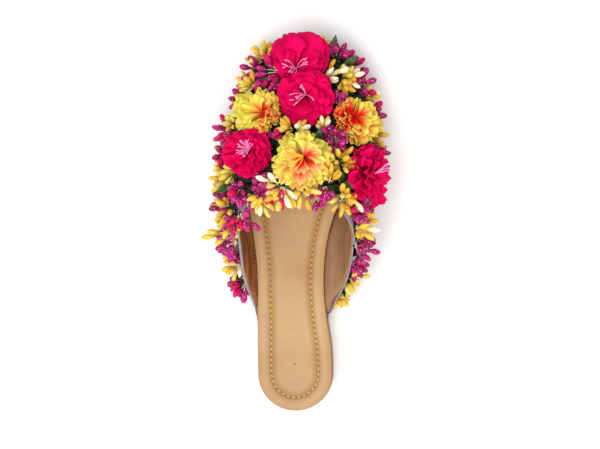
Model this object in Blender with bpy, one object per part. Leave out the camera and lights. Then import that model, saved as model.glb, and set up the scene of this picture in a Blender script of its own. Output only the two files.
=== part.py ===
"""A left open-back jutti: a flat leather mule whose vamp is covered with cloth flowers and bud sprays.

Sizes are in millimetres and become metres where a mesh is made. +Z is up, +Y points to the toe and
+X to the inner (medial) side of the foot. The origin lies on the floor under the middle of the heel.
"""

import math

import bmesh
import bpy
import numpy as np
from mathutils import Vector
from mathutils.bvhtree import BVHTree

MM = 0.001
GAP = 0.3  # clearance between pieces that meet

# The last: plan outline, which the insole has
SOLE_LENGTH = 250.0
HEEL_RADIUS = 25.0
TOE_TIP_Y = SOLE_LENGTH - HEEL_RADIUS
TOE_TIP_X = 6.0
TOE_FULLNESS = 2.0  # how late the toe starts to close
TOE_ROUNDNESS = 1.7  # how blunt the toe is
INSOLE_OUTLINE = (
    # y, lateral edge, medial edge
    (0.0, 25.0, 25.0),
    (18.0, 25.3, 24.3),
    (36.0, 25.4, 21.6),
    (56.0, 25.9, 19.8),
    (72.0, 26.5, 19.9),
    (90.0, 28.7, 22.0),
    (106.0, 31.3, 26.1),
    (118.0, 33.4, 31.5),
    (134.0, 35.6, 39.0),
    (150.0, 36.0, 42.6),
)
BALL_Y = INSOLE_OUTLINE[-1][0]

# Sole: the welt past the insole, then its side profile
WELT_AT_HEEL = 0.4
WELT_AT_VAMP = 2.4
WELT_GROWS = (34.0, 46.0)  # where along the foot the welt widens for the upper
HEEL_BREAST_Y = 34.0
HEEL_BREAST_SLOPE = 0.8  # length of the slanted front of the heel
SOLE_TOP = (
    # y, height of the sole's upper face
    (-25.0, 13.0),
    (30.0, 12.7),
    (60.0, 10.4),
    (88.0, 7.4),
    (115.0, 5.4),
    (150.0, 5.0),
    (175.0, 5.3),
    (202.0, 7.6),
    (227.0, 11.8),
)
SOLE_TREAD = (
    # y, height of the tread in front of the heel
    (34.0, 4.8),
    (60.0, 5.2),
    (88.0, 2.4),
    (114.0, 0.0),
    (172.0, 0.0),
    (200.0, 2.4),
    (227.0, 7.0),
)
SOLE_EDGE_ROUND = 0.7
SECTIONS_ROUND_HEEL = 6
SECTIONS_ALONG_WAIST = 12
SECTIONS_ROUND_TOE = 8

# Insole: a padded board that draws in where the vamp covers it
INSOLE_THICKNESS = 4.6
INSOLE_EDGE_ROUND = 1.7
INSOLE_TOE_INSET = 3.0
INSOLE_DRAWS_IN = (122.0, 150.0)

# Upper: wall, sections along the foot, and the line that the opening is cut to
WALL = 1.8
WALL_FROM_SOLE_EDGE = 0.2
WALL_SHARE = 0.4  # share of the way from sole edge to crown that is side wall
ROOF_FULLNESS = 2.2  # exponent of the roof's superellipse
UPPER_SECTIONS = (
    # y, lateral flare, medial flare, height of widest point, crown height
    (40.0, 8.2, 18.0, 40.0, 66.0),
    (66.0, 7.6, 17.8, 40.0, 66.0),
    (92.0, 5.4, 15.9, 40.0, 66.0),
    (112.0, 5.0, 10.8, 33.0, 62.0),
    (134.0, 3.6, 4.8, 25.0, 55.0),
    (150.0, 3.0, 3.2, 22.0, 49.5),
    (180.0, 2.6, 2.8, 19.0, 38.5),
    (207.0, 2.2, 2.2, 18.0, 31.0),
    (227.0, 2.0, 2.0, 17.0, 26.0),
)
TOE_BOX_Y = 188.0  # where the crown starts to round down to the toe
TOPLINE = (
    # share of the way up, y on the lateral side, y on the medial side
    (0.00, 45.0, 41.0),
    (0.09, 53.0, 50.5),
    (0.18, 61.0, 60.0),
    (0.26, 69.0, 69.0),
    (0.40, 91.0, 91.0),
    (0.66, 110.0, 110.0),
    (0.84, 118.5, 118.5),
    (1.00, 121.5, 121.5),
)
UPPER_ROWS = 17
UPPER_COLUMNS_PER_SIDE = 15

LATERAL, MEDIAL = -1, 1

# Cloth flowers: where each is sewn on the upper, and its size
FLOWERS = (
    # name, colour, side, y, share of the way up, radius, height, lean from upright to the wall's normal
    ("flower_magenta_toe", "magenta", LATERAL, 209.2, 0.99, 20.0, 15.0, 0.6),
    ("flower_magenta_vamp", "magenta", MEDIAL, 183.0, 0.97, 19.6, 15.0, 0.3),
    ("flower_yellow_lateral", "yellow", LATERAL, 173.5, 0.76, 17.6, 14.0, 0.8),
    ("flower_yellow_medial", "yellow", MEDIAL, 168.0, 0.65, 17.2, 14.0, 0.9),
    ("flower_magenta_lateral", "magenta", LATERAL, 147.0, 0.74, 17.0, 14.0, 0.8),
    ("flower_yellow_throat", "yellow", MEDIAL, 141.0, 0.97, 21.2, 15.0, 0.4),
    ("flower_magenta_medial", "magenta", MEDIAL, 132.5, 0.55, 20.4, 14.0, 0.9),
)
PETALS = 6
PETAL_NOTCH = 0.10  # depth of the notch between petals, as a share of the radius
ANGLES_PER_PETAL = 3
PETAL_PROFILE = (
    # share of radius, share of height, share of the notch, turn in steps of the angle
    (0.24, 0.00, 0.0, 0),
    (0.62, 0.22, 0.3, 0),
    (1.00, 0.42, 1.0, 0),
    (0.97, 0.55, 1.0, 0),
    (0.62, 0.52, 0.4, 1),
    (0.86, 0.78, 1.0, 1),
    (0.79, 0.89, 1.0, 1),
    (0.44, 0.75, 0.4, 2),
    (0.54, 0.99, 1.0, 2),
    (0.38, 1.04, 1.0, 2),
)
FLOWER_DIP = 0.86  # height of the flower's middle, as a share of its height
FLOWER_WIDEST = 0.6  # height where flowers press on each other, as a share of their height

# Bud sprays: a bound heart on the upper, and the way that its buds point
SPRAYS = (
    # colour, side, y, share of the way up, heading from +X towards the toe, rise, reach of its buds
    ("yellow", LATERAL, 210.0, 0.45, 140, 25, 15),
    ("magenta", LATERAL, 204.0, 0.50, 172, 25, 15),
    ("yellow", LATERAL, 196.0, 0.42, 165, 45, 11),
    ("yellow", LATERAL, 168.0, 0.48, 180, 55, 9),
    ("magenta", LATERAL, 163.0, 0.38, 165, 10, 15),
    ("magenta", LATERAL, 147.0, 0.36, 185, 10, 13),
    ("yellow", LATERAL, 131.0, 0.42, 175, 15, 15),
    ("magenta", LATERAL, 124.0, 0.68, 258, 38, 15),
    ("magenta", LATERAL, 126.0, 0.80, 350, 45, 15),
    ("magenta", LATERAL, 116.0, 0.36, 190, 5, 15),
    ("yellow", LATERAL, 113.0, 0.50, 215, 40, 15),
    ("yellow", LATERAL, 101.0, 0.30, 200, 0, 15),
    ("magenta", LATERAL, 107.0, 0.57, 300, 22, 17),
    ("yellow", LATERAL, 119.5, 0.82, 265, 25, 15),
    ("magenta", LATERAL, 89.0, 0.28, 205, 0, 15),
    ("yellow", LATERAL, 76.0, 0.20, 205, -5, 15),
    ("magenta", LATERAL, 62.5, 0.12, 225, 0, 15),
    ("yellow", MEDIAL, 197.0, 0.66, 20, 48, 16),
    ("magenta", MEDIAL, 211.0, 0.52, 60, 25, 13),
    ("magenta", MEDIAL, 193.0, 0.44, 15, 30, 15),
    ("yellow", MEDIAL, 187.0, 0.36, 355, 15, 15),
    ("magenta", MEDIAL, 174.0, 0.34, 0, -5, 15),
    ("yellow", MEDIAL, 161.0, 0.34, 0, -5, 15),
    ("magenta", MEDIAL, 150.0, 0.34, 355, 0, 15),
    ("yellow", MEDIAL, 136.0, 0.30, 355, 0, 15),
    ("magenta", MEDIAL, 122.0, 0.34, 340, 0, 15),
    ("magenta", MEDIAL, 112.5, 0.56, 290, 40, 15),
    ("yellow", MEDIAL, 104.0, 0.40, 315, 20, 15),
    ("magenta", MEDIAL, 92.0, 0.33, 330, 10, 15),
    ("magenta", MEDIAL, 76.0, 0.24, 310, 5, 15),
    ("yellow", MEDIAL, 65.0, 0.14, 338, 5, 15),
    ("yellow", MEDIAL, 53.5, 0.06, 300, 5, 15),
    ("yellow", LATERAL, 122.5, 0.94, 255, 22, 15),
    ("magenta", MEDIAL, 121.5, 0.88, 262, 30, 15),
    ("yellow", MEDIAL, 120.0, 0.72, 280, 45, 15),
    ("yellow", MEDIAL, 141.0, 0.76, 30, 62, 15),
    ("magenta", MEDIAL, 155.0, 0.80, 80, 62, 15),
    ("yellow", LATERAL, 153.0, 0.14, 180, -5, 15),
    ("yellow", LATERAL, 139.0, 0.16, 185, -5, 15),
    ("magenta", LATERAL, 126.0, 0.16, 190, -5, 15),
    ("magenta", LATERAL, 190.0, 0.16, 150, -10, 10),
    ("magenta", MEDIAL, 204.0, 0.20, 35, 0, 15),
    ("yellow", MEDIAL, 180.0, 0.12, 10, 0, 15),
    ("yellow", MEDIAL, 150.0, 0.12, 0, 0, 15),
    ("magenta", MEDIAL, 135.0, 0.12, 355, 0, 15),
    ("yellow", MEDIAL, 112.0, 0.18, 335, 0, 15),
    ("magenta", LATERAL, 183.0, 0.52, 170, 30, 11),
    ("magenta", LATERAL, 156.0, 0.54, 180, 30, 10),
    ("magenta", LATERAL, 217.0, 0.72, 115, 0, 10),
    ("yellow", MEDIAL, 218.0, 0.72, 75, 0, 10),
)
SPRAY_HEART = 1.6  # radius of the bound heart
ABOVE_FLOOR = 2.0  # no bud hangs lower than this
BUD_FAN = 0.62  # 1 spreads the buds as wide as the heart's faces, 0 bundles them
BUD_ROOT = 1.3  # where a bud leaves the heart's middle, and about its radius there
BUD_LENGTHS_TRIED = (1.0, 0.85, 0.7)  # a bud without room is shortened, or else left out
BUD_SPOTS_TESTED = 7
BUD_PROFILE = (
    # share of the length, radius
    (0.68, 1.85),
    (1.00, 0.50),
)

SMOOTH_BELOW = math.radians(40)  # edges flatter than this are shaded smooth
BEVEL_ABOVE = math.radians(60)  # edges sharper than this are rounded

# Material colours: linear red, green, blue, then roughness
COLOURS = {
    "sole_tan": ((0.30, 0.16, 0.075), 0.6),
    "insole_tan": ((0.62, 0.39, 0.21), 0.55),
    "upper_lining": ((0.36, 0.21, 0.11), 0.6),
    "magenta": ((0.80, 0.006, 0.13), 0.8),
    "yellow": ((0.85, 0.62, 0.07), 0.8),
}


def smooth(rows, column, y):
    """One column of a table read at y, through a cubic curve that is level at both ends."""
    at = np.array([row[0] for row in rows])
    value = np.array([row[column] for row in rows])
    slope = np.zeros(len(at))
    slope[1:-1] = (value[2:] - value[:-2]) / (at[2:] - at[:-2])
    y = np.clip(np.asarray(y, float), at[0], at[-1])
    i = np.clip(np.searchsorted(at, y, side="right") - 1, 0, len(at) - 2)
    span = at[i + 1] - at[i]
    t = (y - at[i]) / span
    rise = t * t * (3 - 2 * t)
    return (
        value[i] * (1 - rise)
        + value[i + 1] * rise
        + span * t * (1 - t) * (slope[i] * (1 - t) - slope[i + 1] * t)
    )


def ramp(y, start, end):
    """0 before start, 1 after end, and smooth between them."""
    t = np.clip((np.asarray(y, float) - start) / (end - start), 0.0, 1.0)
    return t * t * (3 - 2 * t)


def closing(y, start, tip):
    """1 up to start, then down to 0 at the tip along a superellipse, as a rounded toe does."""
    u = np.clip((np.asarray(y, float) - start) / (tip - start), 0.0, 1.0)
    return (1 - u**TOE_FULLNESS) ** (1 / TOE_ROUNDNESS)


def middle(y):
    """x of the foot's middle line, which swings from the ball's middle to the toe tip."""
    ball = (INSOLE_OUTLINE[-1][2] - INSOLE_OUTLINE[-1][1]) / 2
    return ball + (TOE_TIP_X - ball) * ramp(y, BALL_Y, TOE_TIP_Y)


def edge(side, y, grow):
    """x of the insole's outline at y, moved outwards by grow: heel arc, drawn waist and ball, then toe."""
    y = np.asarray(y, float)
    column = 1 if side == LATERAL else 2
    radius = HEEL_RADIUS + grow
    heel = np.sqrt(np.maximum(radius**2 - np.minimum(y, 0.0) ** 2, 0.0))
    waist = smooth(INSOLE_OUTLINE, column, y) + grow
    half_ball = (INSOLE_OUTLINE[-1][1] + INSOLE_OUTLINE[-1][2]) / 2 + grow
    toe = half_ball * closing(y, BALL_Y, TOE_TIP_Y - WELT_AT_VAMP + grow)
    return np.where(y < 0, side * heel, np.where(y < BALL_Y, side * waist, middle(y) + side * toe))


def welt(y):
    """How far the sole stands past the insole: little at the heel, and the wall's room at the vamp."""
    return WELT_AT_HEEL + (WELT_AT_VAMP - WELT_AT_HEEL) * ramp(y, *WELT_GROWS)


def sole_top(y):
    return smooth(SOLE_TOP, 1, y)


def sole_tread(y):
    """The tread's height: flat under heel and ball, raised under the arch and at the toe."""
    front = np.maximum(smooth(SOLE_TREAD, 1, y), 0.0)
    return np.where(np.asarray(y, float) <= HEEL_BREAST_Y, 0.0, front)


def stations(grow_heel, grow_toe, breast):
    """Places along the foot where a slab has a section, close together at its round ends."""
    back = -(HEEL_RADIUS + grow_heel)
    tip = TOE_TIP_Y - WELT_AT_VAMP + grow_toe
    heel = back * np.cos(np.linspace(0, math.pi / 2, SECTIONS_ROUND_HEEL + 1)[:-1])
    toe = BALL_Y + (tip - BALL_Y) * np.sin(np.linspace(0, math.pi / 2, SECTIONS_ROUND_TOE + 1))
    waist = np.linspace(0, BALL_Y, SECTIONS_ALONG_WAIST + 1)[:-1]
    if breast:
        waist = np.sort(np.append(waist, [HEEL_BREAST_Y, HEEL_BREAST_Y + HEEL_BREAST_SLOPE]))
    return np.concatenate([heel, waist, toe])


def material(name):
    colour, roughness = COLOURS[name]
    made = bpy.data.materials.get(name)
    if made is None:
        made = bpy.data.materials.new(name)
        made.use_nodes = True
        shader = made.node_tree.nodes["Principled BSDF"]
        shader.inputs["Base Color"].default_value = (*colour, 1.0)
        shader.inputs["Roughness"].default_value = roughness
    return made


def solid(name, points, faces, finish, split=True):
    """One closed mesh object from points in millimetres, faces outwards and, if split, in triangles."""
    mesh = bpy.data.meshes.new(name)
    mesh.from_pydata([tuple(p) for p in np.asarray(points, float) * MM], [], faces)
    shell = bmesh.new()
    shell.from_mesh(mesh)
    bmesh.ops.recalc_face_normals(shell, faces=shell.faces)
    if split:
        bmesh.ops.triangulate(shell, faces=shell.faces)
    shell.to_mesh(mesh)
    shell.free()
    mesh.shade_smooth()
    mesh.set_sharp_from_angle(angle=SMOOTH_BELOW)
    mesh.materials.append(material(finish))
    made = bpy.data.objects.new(name, mesh)
    bpy.context.scene.collection.objects.link(made)
    return made


def slab(name, y, grow, bottom, top, edge_round, steps, finish):
    """A sole-shaped slab: four corners at each y, closed to an upright edge at heel and toe."""
    left, right = edge(LATERAL, y, grow), edge(MEDIAL, y, grow)
    points = [(left[0], y[0], bottom[0]), (left[0], y[0], top[0])]
    rings = []
    for i in range(1, len(y) - 1):
        rings.append(len(points))
        points += [
            (left[i], y[i], bottom[i]),
            (right[i], y[i], bottom[i]),
            (right[i], y[i], top[i]),
            (left[i], y[i], top[i]),
        ]
    tip = len(points)
    points += [(right[-1], y[-1], bottom[-1]), (right[-1], y[-1], top[-1])]
    faces = []
    for a, b in zip(rings, rings[1:]):
        faces += [(a + k, a + (k + 1) % 4, b + (k + 1) % 4, b + k) for k in range(4)]
    for end, ring in ((0, rings[0]), (tip, rings[-1])):
        faces += [
            (end, ring, ring + 1),
            (end + 1, ring + 2, ring + 3),
            (end, end + 1, ring + 3, ring),
            (end, ring + 1, ring + 2, end + 1),
        ]
    made = solid(name, points, faces, finish, split=False)
    bevel = made.modifiers.new("rounded edge", "BEVEL")
    bevel.width = edge_round * MM
    bevel.segments = steps
    bevel.limit_method = "ANGLE"
    bevel.angle_limit = BEVEL_ABOVE
    return made


def make_outsole():
    y = stations(WELT_AT_HEEL, WELT_AT_VAMP, breast=True)
    return slab("outsole", y, welt(y), sole_tread(y), sole_top(y), SOLE_EDGE_ROUND, 1, "sole_tan")


def make_insole():
    y = stations(0.0, -INSOLE_TOE_INSET, breast=False)
    grow = -INSOLE_TOE_INSET * ramp(y, *INSOLE_DRAWS_IN)
    bottom = sole_top(y) + GAP
    top = bottom + INSOLE_THICKNESS
    return slab("insole", y, grow, bottom, top, INSOLE_EDGE_ROUND, 2, "insole_tan")


def upper_point(side, y, share, inset):
    """(x, z) of the upper at y, a share of the way from sole edge (0) to crown (1), inset into its wall.

    The side wall leans out along a quarter sine to the widest point, and the roof is a quarter of a
    superellipse from there to the crown. At the toe both shrink to one point.
    """
    column = 1 if side == LATERAL else 2
    tip = TOE_TIP_Y - WALL_FROM_SOLE_EDGE - inset
    width = closing(y, BALL_Y, tip)
    rounding = closing(y, TOE_BOX_Y, tip)
    base_z = sole_top(y) + GAP
    base = edge(side, y, WELT_AT_VAMP - WALL_FROM_SOLE_EDGE - inset)
    widest = base + side * smooth(UPPER_SECTIONS, column, y) * width
    widest_z = base_z + (smooth(UPPER_SECTIONS, 3, y) - base_z) * rounding
    crown_z = base_z + (smooth(UPPER_SECTIONS, 4, y) - inset - base_z) * rounding
    ridge = middle(y)
    wall = np.clip(share / WALL_SHARE, 0.0, 1.0)
    turn = np.clip((share - WALL_SHARE) / (1 - WALL_SHARE), 0.0, 1.0) * math.pi / 2
    power = 2 / ROOF_FULLNESS
    wall_x = base + (widest - base) * np.sin(wall * math.pi / 2)
    wall_z = base_z + (widest_z - base_z) * wall
    roof_x = ridge + (widest - ridge) * np.maximum(np.cos(turn), 0.0) ** power
    roof_z = widest_z + (crown_z - widest_z) * np.sin(turn) ** power
    on_wall = share <= WALL_SHARE
    return np.where(on_wall, wall_x, roof_x), np.where(on_wall, wall_z, roof_z)


def upper_sheet(inset):
    """A grid of points over the vamp, toe to opening by rows, lateral to medial sole edge by columns."""
    up = np.linspace(0.0, 1.0, UPPER_COLUMNS_PER_SIDE)
    share = np.concatenate([up, up[-2::-1]])
    tip = TOE_TIP_Y - WALL_FROM_SOLE_EDGE - inset
    opening = np.concatenate([smooth(TOPLINE, 1, up), smooth(TOPLINE, 2, up[-2::-1])])
    along = 1 - np.cos(np.linspace(0, math.pi / 2, UPPER_ROWS + 1))[1:, None]
    y = tip + (opening[None, :] - tip) * along
    lateral = np.arange(len(share)) < UPPER_COLUMNS_PER_SIDE
    share = np.broadcast_to(share, y.shape)
    x_l, z_l = upper_point(LATERAL, y, share, inset)
    x_m, z_m = upper_point(MEDIAL, y, share, inset)
    grid = np.stack([np.where(lateral, x_l, x_m), y, np.where(lateral, z_l, z_m)], axis=-1)
    toe = np.array([middle(tip), tip, sole_top(tip) + GAP])
    return grid, toe


def make_upper():
    """The vamp as one hollow shell: outer and inner sheets joined along the opening and the sole edge."""
    outer, outer_toe = upper_sheet(0.0)
    inner, inner_toe = upper_sheet(WALL)
    rows, columns = outer.shape[:2]
    count = rows * columns
    points = np.concatenate([outer.reshape(-1, 3), inner.reshape(-1, 3), [outer_toe, inner_toe]])
    toes = (2 * count, 2 * count + 1)
    faces = []
    for sheet in (0, 1):
        start = sheet * count
        for c in range(columns - 1):
            faces.append((toes[sheet], start + c, start + c + 1))
            for r in range(rows - 1):
                a = start + r * columns + c
                faces.append((a, a + 1, a + columns + 1, a + columns))
    last = (rows - 1) * columns
    faces += [(last + c, last + c + 1, count + last + c + 1, count + last + c) for c in range(columns - 1)]
    for c in (0, columns - 1):
        faces.append((toes[0], c, count + c, toes[1]))
        for r in range(rows - 1):
            a = r * columns + c
            faces.append((a, a + columns, count + a + columns, count + a))
    return solid("upper", points, faces, "upper_lining")


def seat(side, y, share, lift):
    """A point lifted off the upper's outer face, and the outward normal there."""
    step_y, step_share = 0.5, 0.01

    def outer(y, share):
        x, z = upper_point(side, y, share, 0.0)
        return np.array([x, y, z])

    spot = outer(y, share)
    normal = np.cross(outer(y + step_y, share) - spot, outer(y, share - step_share) - spot)
    normal *= -side / np.linalg.norm(normal)
    return spot + normal * lift, normal


def frame_of(axis):
    """Two directions square to the axis, the first as near to the toe as it can be."""
    ahead = np.array([0.0, 1.0, 0.0]) - axis * axis[1]
    ahead /= np.linalg.norm(ahead)
    return np.cross(ahead, axis), ahead


def rosette(row):
    """A flower's points and faces: the petal profile carried round its axis, notched between petals."""
    _, _, side, y, share, radius, height, lean = row
    root, normal = seat(side, y, share, GAP)
    axis = normal * lean + np.array([0.0, 0.0, 1.0]) * (1 - lean)
    axis /= np.linalg.norm(axis)
    tilted_rim = PETAL_PROFILE[0][0] * radius * np.linalg.norm(np.cross(axis, normal))
    root = root + normal * tilted_rim
    right, ahead = frame_of(axis)
    angle = np.arange(PETALS * ANGLES_PER_PETAL) * 2 * math.pi / (PETALS * ANGLES_PER_PETAL)
    points = [root]
    for out, up, notch, turn in PETAL_PROFILE:
        wave = 1 - PETAL_NOTCH * notch * np.cos(PETALS * (angle - angle[turn]))
        reach = radius * out * wave
        ring = root + axis * height * up
        ring = ring + np.outer(reach * np.cos(angle), right) + np.outer(reach * np.sin(angle), ahead)
        points += list(ring)
    points.append(root + axis * height * FLOWER_DIP)
    n = len(angle)
    top = len(points) - 1
    faces = []
    for k in range(n):
        after = (k + 1) % n
        faces.append((0, 1 + after, 1 + k))
        for ring in range(len(PETAL_PROFILE) - 1):
            a = 1 + ring * n
            faces.append((a + k, a + after, a + n + after, a + n + k))
        faces.append((top - n + k, top - n + after, top))
    return np.array(points), faces, root + axis * height * FLOWER_WIDEST, radius


def press_together(flowers):
    """Flattens each flower against the plane half way to each neighbour, so that none runs into another."""
    for i, (points, _, heart, radius) in enumerate(flowers):
        for j, (_, _, other, other_radius) in enumerate(flowers):
            if i == j:
                continue
            way = other - heart
            apart = np.linalg.norm(way)
            way = way / apart
            limit = apart * radius / (radius + other_radius) - GAP / 2
            over = np.maximum((points - heart) @ way - limit, 0.0)
            points -= np.outer(over, way)


def make_flowers():
    made = [rosette(row) for row in FLOWERS]
    press_together(made)
    return [solid(row[0], points, faces, row[1]) for row, (points, faces, _, _) in zip(FLOWERS, made)]


def heart_shell(middle_point, axis):
    """The spray's bound heart, a twelve-sided solid in millimetres with one face square to the axis."""
    golden = (1 + math.sqrt(5)) / 2
    signs = (-1, 1)
    corners = [(a, b, c) for a in signs for b in signs for c in signs]
    for a in signs:
        for b in signs:
            pair = (a / golden, b * golden)
            corners += [(0, *pair), (*pair, 0), (pair[1], 0, pair[0])]
    shell = bmesh.new()
    for corner in corners:
        shell.verts.new(Vector(corner) * SPRAY_HEART / math.sqrt(3))
    bmesh.ops.convex_hull(shell, input=shell.verts)
    bmesh.ops.dissolve_limit(shell, angle_limit=0.02, verts=shell.verts, edges=shell.edges)
    shell.normal_update()
    shell.faces.ensure_lookup_table()
    turn = shell.faces[0].normal.rotation_difference(axis).to_matrix()
    for vert in shell.verts:
        vert.co = middle_point + turn @ vert.co
    shell.normal_update()
    return shell


def is_clear(start, way, length, hearts, bodies):
    """True where a bud along this way keeps its gap to the other hearts and to each body placed before."""
    shares, radii = zip((BUD_ROOT / length, BUD_ROOT), *BUD_PROFILE)
    for step in np.linspace(shares[0], 1.0, BUD_SPOTS_TESTED):
        spot = start + way * (length * step)
        radius = np.interp(step, shares, radii)
        if spot.z - radius < ABOVE_FLOOR:
            return False
        if any((heart - spot).length < radius + SPRAY_HEART + GAP for heart in hearts):
            return False
        for body in bodies:
            near, normal, _, distance = body.find_nearest(spot)
            if distance < radius + GAP or (spot - near).dot(normal) < 0:
                return False
    return True


def grow_bud(shell, face, start, way, length):
    """Pulls one face of the heart out into a stalk and a bud that swells and then closes to its tip."""
    for share, radius in BUD_PROFILE:
        face = bmesh.ops.extrude_discrete_faces(shell, faces=[face])["faces"][0]
        ring_middle = face.calc_center_median()
        for vert in face.verts:
            out = vert.co - ring_middle
            out = (out - way * out.dot(way)).normalized()
            vert.co = start + way * (length * share) + out * radius


def heart_of(row):
    """The middle of a spray's heart, which rests on the upper."""
    side, y, share = row[1:4]
    return Vector(seat(side, y, share, GAP + SPRAY_HEART)[0])


def make_spray(index, row, bodies):
    """One spray: its heart on the upper, and a bud from each outward face that has the room for one."""
    colour, heading, rise, reach = row[0], math.radians(row[4]), math.radians(row[5]), row[6]
    flat = math.cos(rise)
    axis = Vector((math.cos(heading) * flat, math.sin(heading) * flat, math.sin(rise)))
    start = heart_of(row)
    hearts = [heart_of(other) for other in SPRAYS if other is not row]
    shell = heart_shell(start, axis)
    outward = [face for face in shell.faces if face.normal.dot(axis) > 0]
    for face in outward:
        way = (face.normal * BUD_FAN + axis * (1 - BUD_FAN)).normalized()
        lengths = [reach * tried for tried in BUD_LENGTHS_TRIED]
        free = [length for length in lengths if is_clear(start, way, length, hearts, bodies)]
        if free:
            grow_bud(shell, face, start, way, free[0])
    points = [tuple(vert.co) for vert in shell.verts]
    shell.verts.index_update()
    faces = [tuple(vert.index for vert in face.verts) for face in shell.faces]
    shell.free()
    return solid(f"spray_{colour}_{index:02d}", points, faces, colour)


def body_of(made):
    """A finished piece as a search tree in millimetres."""
    shell = bmesh.new()
    shell.from_mesh(made.data)
    bmesh.ops.scale(shell, vec=(1 / MM, 1 / MM, 1 / MM), verts=shell.verts)
    tree = BVHTree.FromBMesh(shell)
    shell.free()
    return tree


def main():
    for old in list(bpy.data.objects):
        bpy.data.objects.remove(old)
    made = [make_outsole(), make_insole(), make_upper(), *make_flowers()]
    bodies = [body_of(piece) for piece in made]
    for index, row in enumerate(SPRAYS, start=1):
        bodies.append(body_of(make_spray(index, row, bodies)))


main()
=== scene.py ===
"""Looks of a left open-back jutti: a flat leather mule whose vamp is covered with cloth flowers.

Sizes are in millimetres and become metres where a mesh is made. +Y points to the toe, +X to the inner
(medial) side of the foot, and the origin lies on the floor under the middle of the heel. The tables of
the last, the upper, the flowers and the sprays repeat the part's own.
"""

import math
from collections import namedtuple

import bmesh
import bpy
import numpy as np
from mathutils import Matrix, Vector


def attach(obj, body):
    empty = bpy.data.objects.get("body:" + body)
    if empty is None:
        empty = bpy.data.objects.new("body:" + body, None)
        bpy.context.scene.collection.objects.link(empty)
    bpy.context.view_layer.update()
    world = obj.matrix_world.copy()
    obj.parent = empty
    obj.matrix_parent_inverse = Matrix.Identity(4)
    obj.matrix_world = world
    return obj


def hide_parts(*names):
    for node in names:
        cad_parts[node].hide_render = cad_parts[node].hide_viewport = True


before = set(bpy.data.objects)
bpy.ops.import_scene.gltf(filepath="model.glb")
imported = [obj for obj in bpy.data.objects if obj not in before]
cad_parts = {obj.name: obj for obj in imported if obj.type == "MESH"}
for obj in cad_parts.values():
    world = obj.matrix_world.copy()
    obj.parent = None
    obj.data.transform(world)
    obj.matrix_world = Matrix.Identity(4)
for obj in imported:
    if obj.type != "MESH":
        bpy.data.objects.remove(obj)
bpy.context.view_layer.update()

MM = 0.001
GAP = 0.3  # between pieces that lie on each other
WELD = 0.002  # points nearer than this are one point
LATERAL, MEDIAL = -1, 1
INWARDS, FORWARDS, UP = np.eye(3)  # to the medial side, to the toe, and upwards

# The last and the sole
SOLE_LENGTH = 250.0
HEEL_RADIUS = 25.0
TOE_TIP_Y = SOLE_LENGTH - HEEL_RADIUS
TOE_TIP_X = 6.0
TOE_FULLNESS = 2.0
TOE_ROUNDNESS = 1.7
INSOLE_OUTLINE = (
    # y, lateral edge, medial edge
    (0.0, 25.0, 25.0),
    (18.0, 25.3, 24.3),
    (36.0, 25.4, 21.6),
    (56.0, 25.9, 19.8),
    (72.0, 26.5, 19.9),
    (90.0, 28.7, 22.0),
    (106.0, 31.3, 26.1),
    (118.0, 33.4, 31.5),
    (134.0, 35.6, 39.0),
    (150.0, 36.0, 42.6),
)
BALL_Y = INSOLE_OUTLINE[-1][0]
WELT_AT_HEEL = 0.4
WELT_AT_VAMP = 2.4
WELT_GROWS = (34.0, 46.0)
HEEL_BREAST = (34.0, 34.8)  # top and foot of the slanted front of the heel
SOLE_TOP = (
    # y, height of the sole's upper face
    (-25.0, 13.0),
    (30.0, 12.7),
    (60.0, 10.4),
    (88.0, 7.4),
    (115.0, 5.4),
    (150.0, 5.0),
    (175.0, 5.3),
    (202.0, 7.6),
    (227.0, 11.8),
)
SOLE_TREAD = (
    # y, height of the tread in front of the heel
    (34.0, 4.8),
    (60.0, 5.2),
    (88.0, 2.4),
    (114.0, 0.0),
    (172.0, 0.0),
    (200.0, 2.4),
    (227.0, 7.0),
)
SOLE_EDGE_ROUND = 0.7
SOLE_EDGE_STEPS = 4  # rings in each rounded edge
SOLE_FACE_INSET = 4.0  # inset of the outer ring of the flat faces
PLAN_STEPS = 170  # places along the foot where the sole and the insole have a point on each edge
SPINE_STOPS_SHORT = 24.0  # how far from heel and toe the middle seam of a slab ends

# Insole: a padded board with a rolled border and one line of stitches
INSOLE_THICKNESS = 4.6
INSOLE_TOE_INSET = 3.0
INSOLE_DRAWS_IN = (122.0, 150.0)
PAD_EDGE = 0.7  # reach of the half-round edge
PAD_DEEPEST = 14.0  # inset of the last ring that follows the outline
PAD_RINGS = {"edge": 9, "border": 8, "groove": 9, "field": 4, "middle": 6}
BORDER_CREST = (4.6, 2.6, 0.55)  # inset, width and height of the rolled border
STITCH_GROOVE = (9.2, 0.85, 0.35)  # inset, width and depth of the groove that the stitches pull
STITCH_HOLLOW = (4.2, 0.4)  # width and depth of the soft hollow round the groove
GROOVE_SPANS = (1.8, 1.5, 2.0)  # from its line to the border's last ring, its own last and the field's first
STITCH_PITCH = 3.7
STITCH_LENGTH = 1.8
STITCH_RADIUS = 0.36
STITCH_SLANT = 0.2  # sideways step of a stitch, as a share of its length
STITCH_SINKS = 0.4  # how far its ends dip into the leather, as a share of its radius
STITCH_STEPS = (9, 8)  # rings along a stitch, and points round it
SEAM_STEP = 0.5  # step along a seam that gives its direction
STITCHES_END_Y = 152.0
HOLE_SIZE = (0.48, 0.42, 0.12)  # a dark bead painted as the shade of an awl hole: half of its size along the line, across it, and in height
HOLE_STEPS = (7, 10)
PIN_AT = (-0.3, 6.8)
PIN_RADIUS = 0.65
PIN_FLATNESS = 0.3  # height of its head, as a share of its width
PIN_STEPS = (9, 14)

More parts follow.
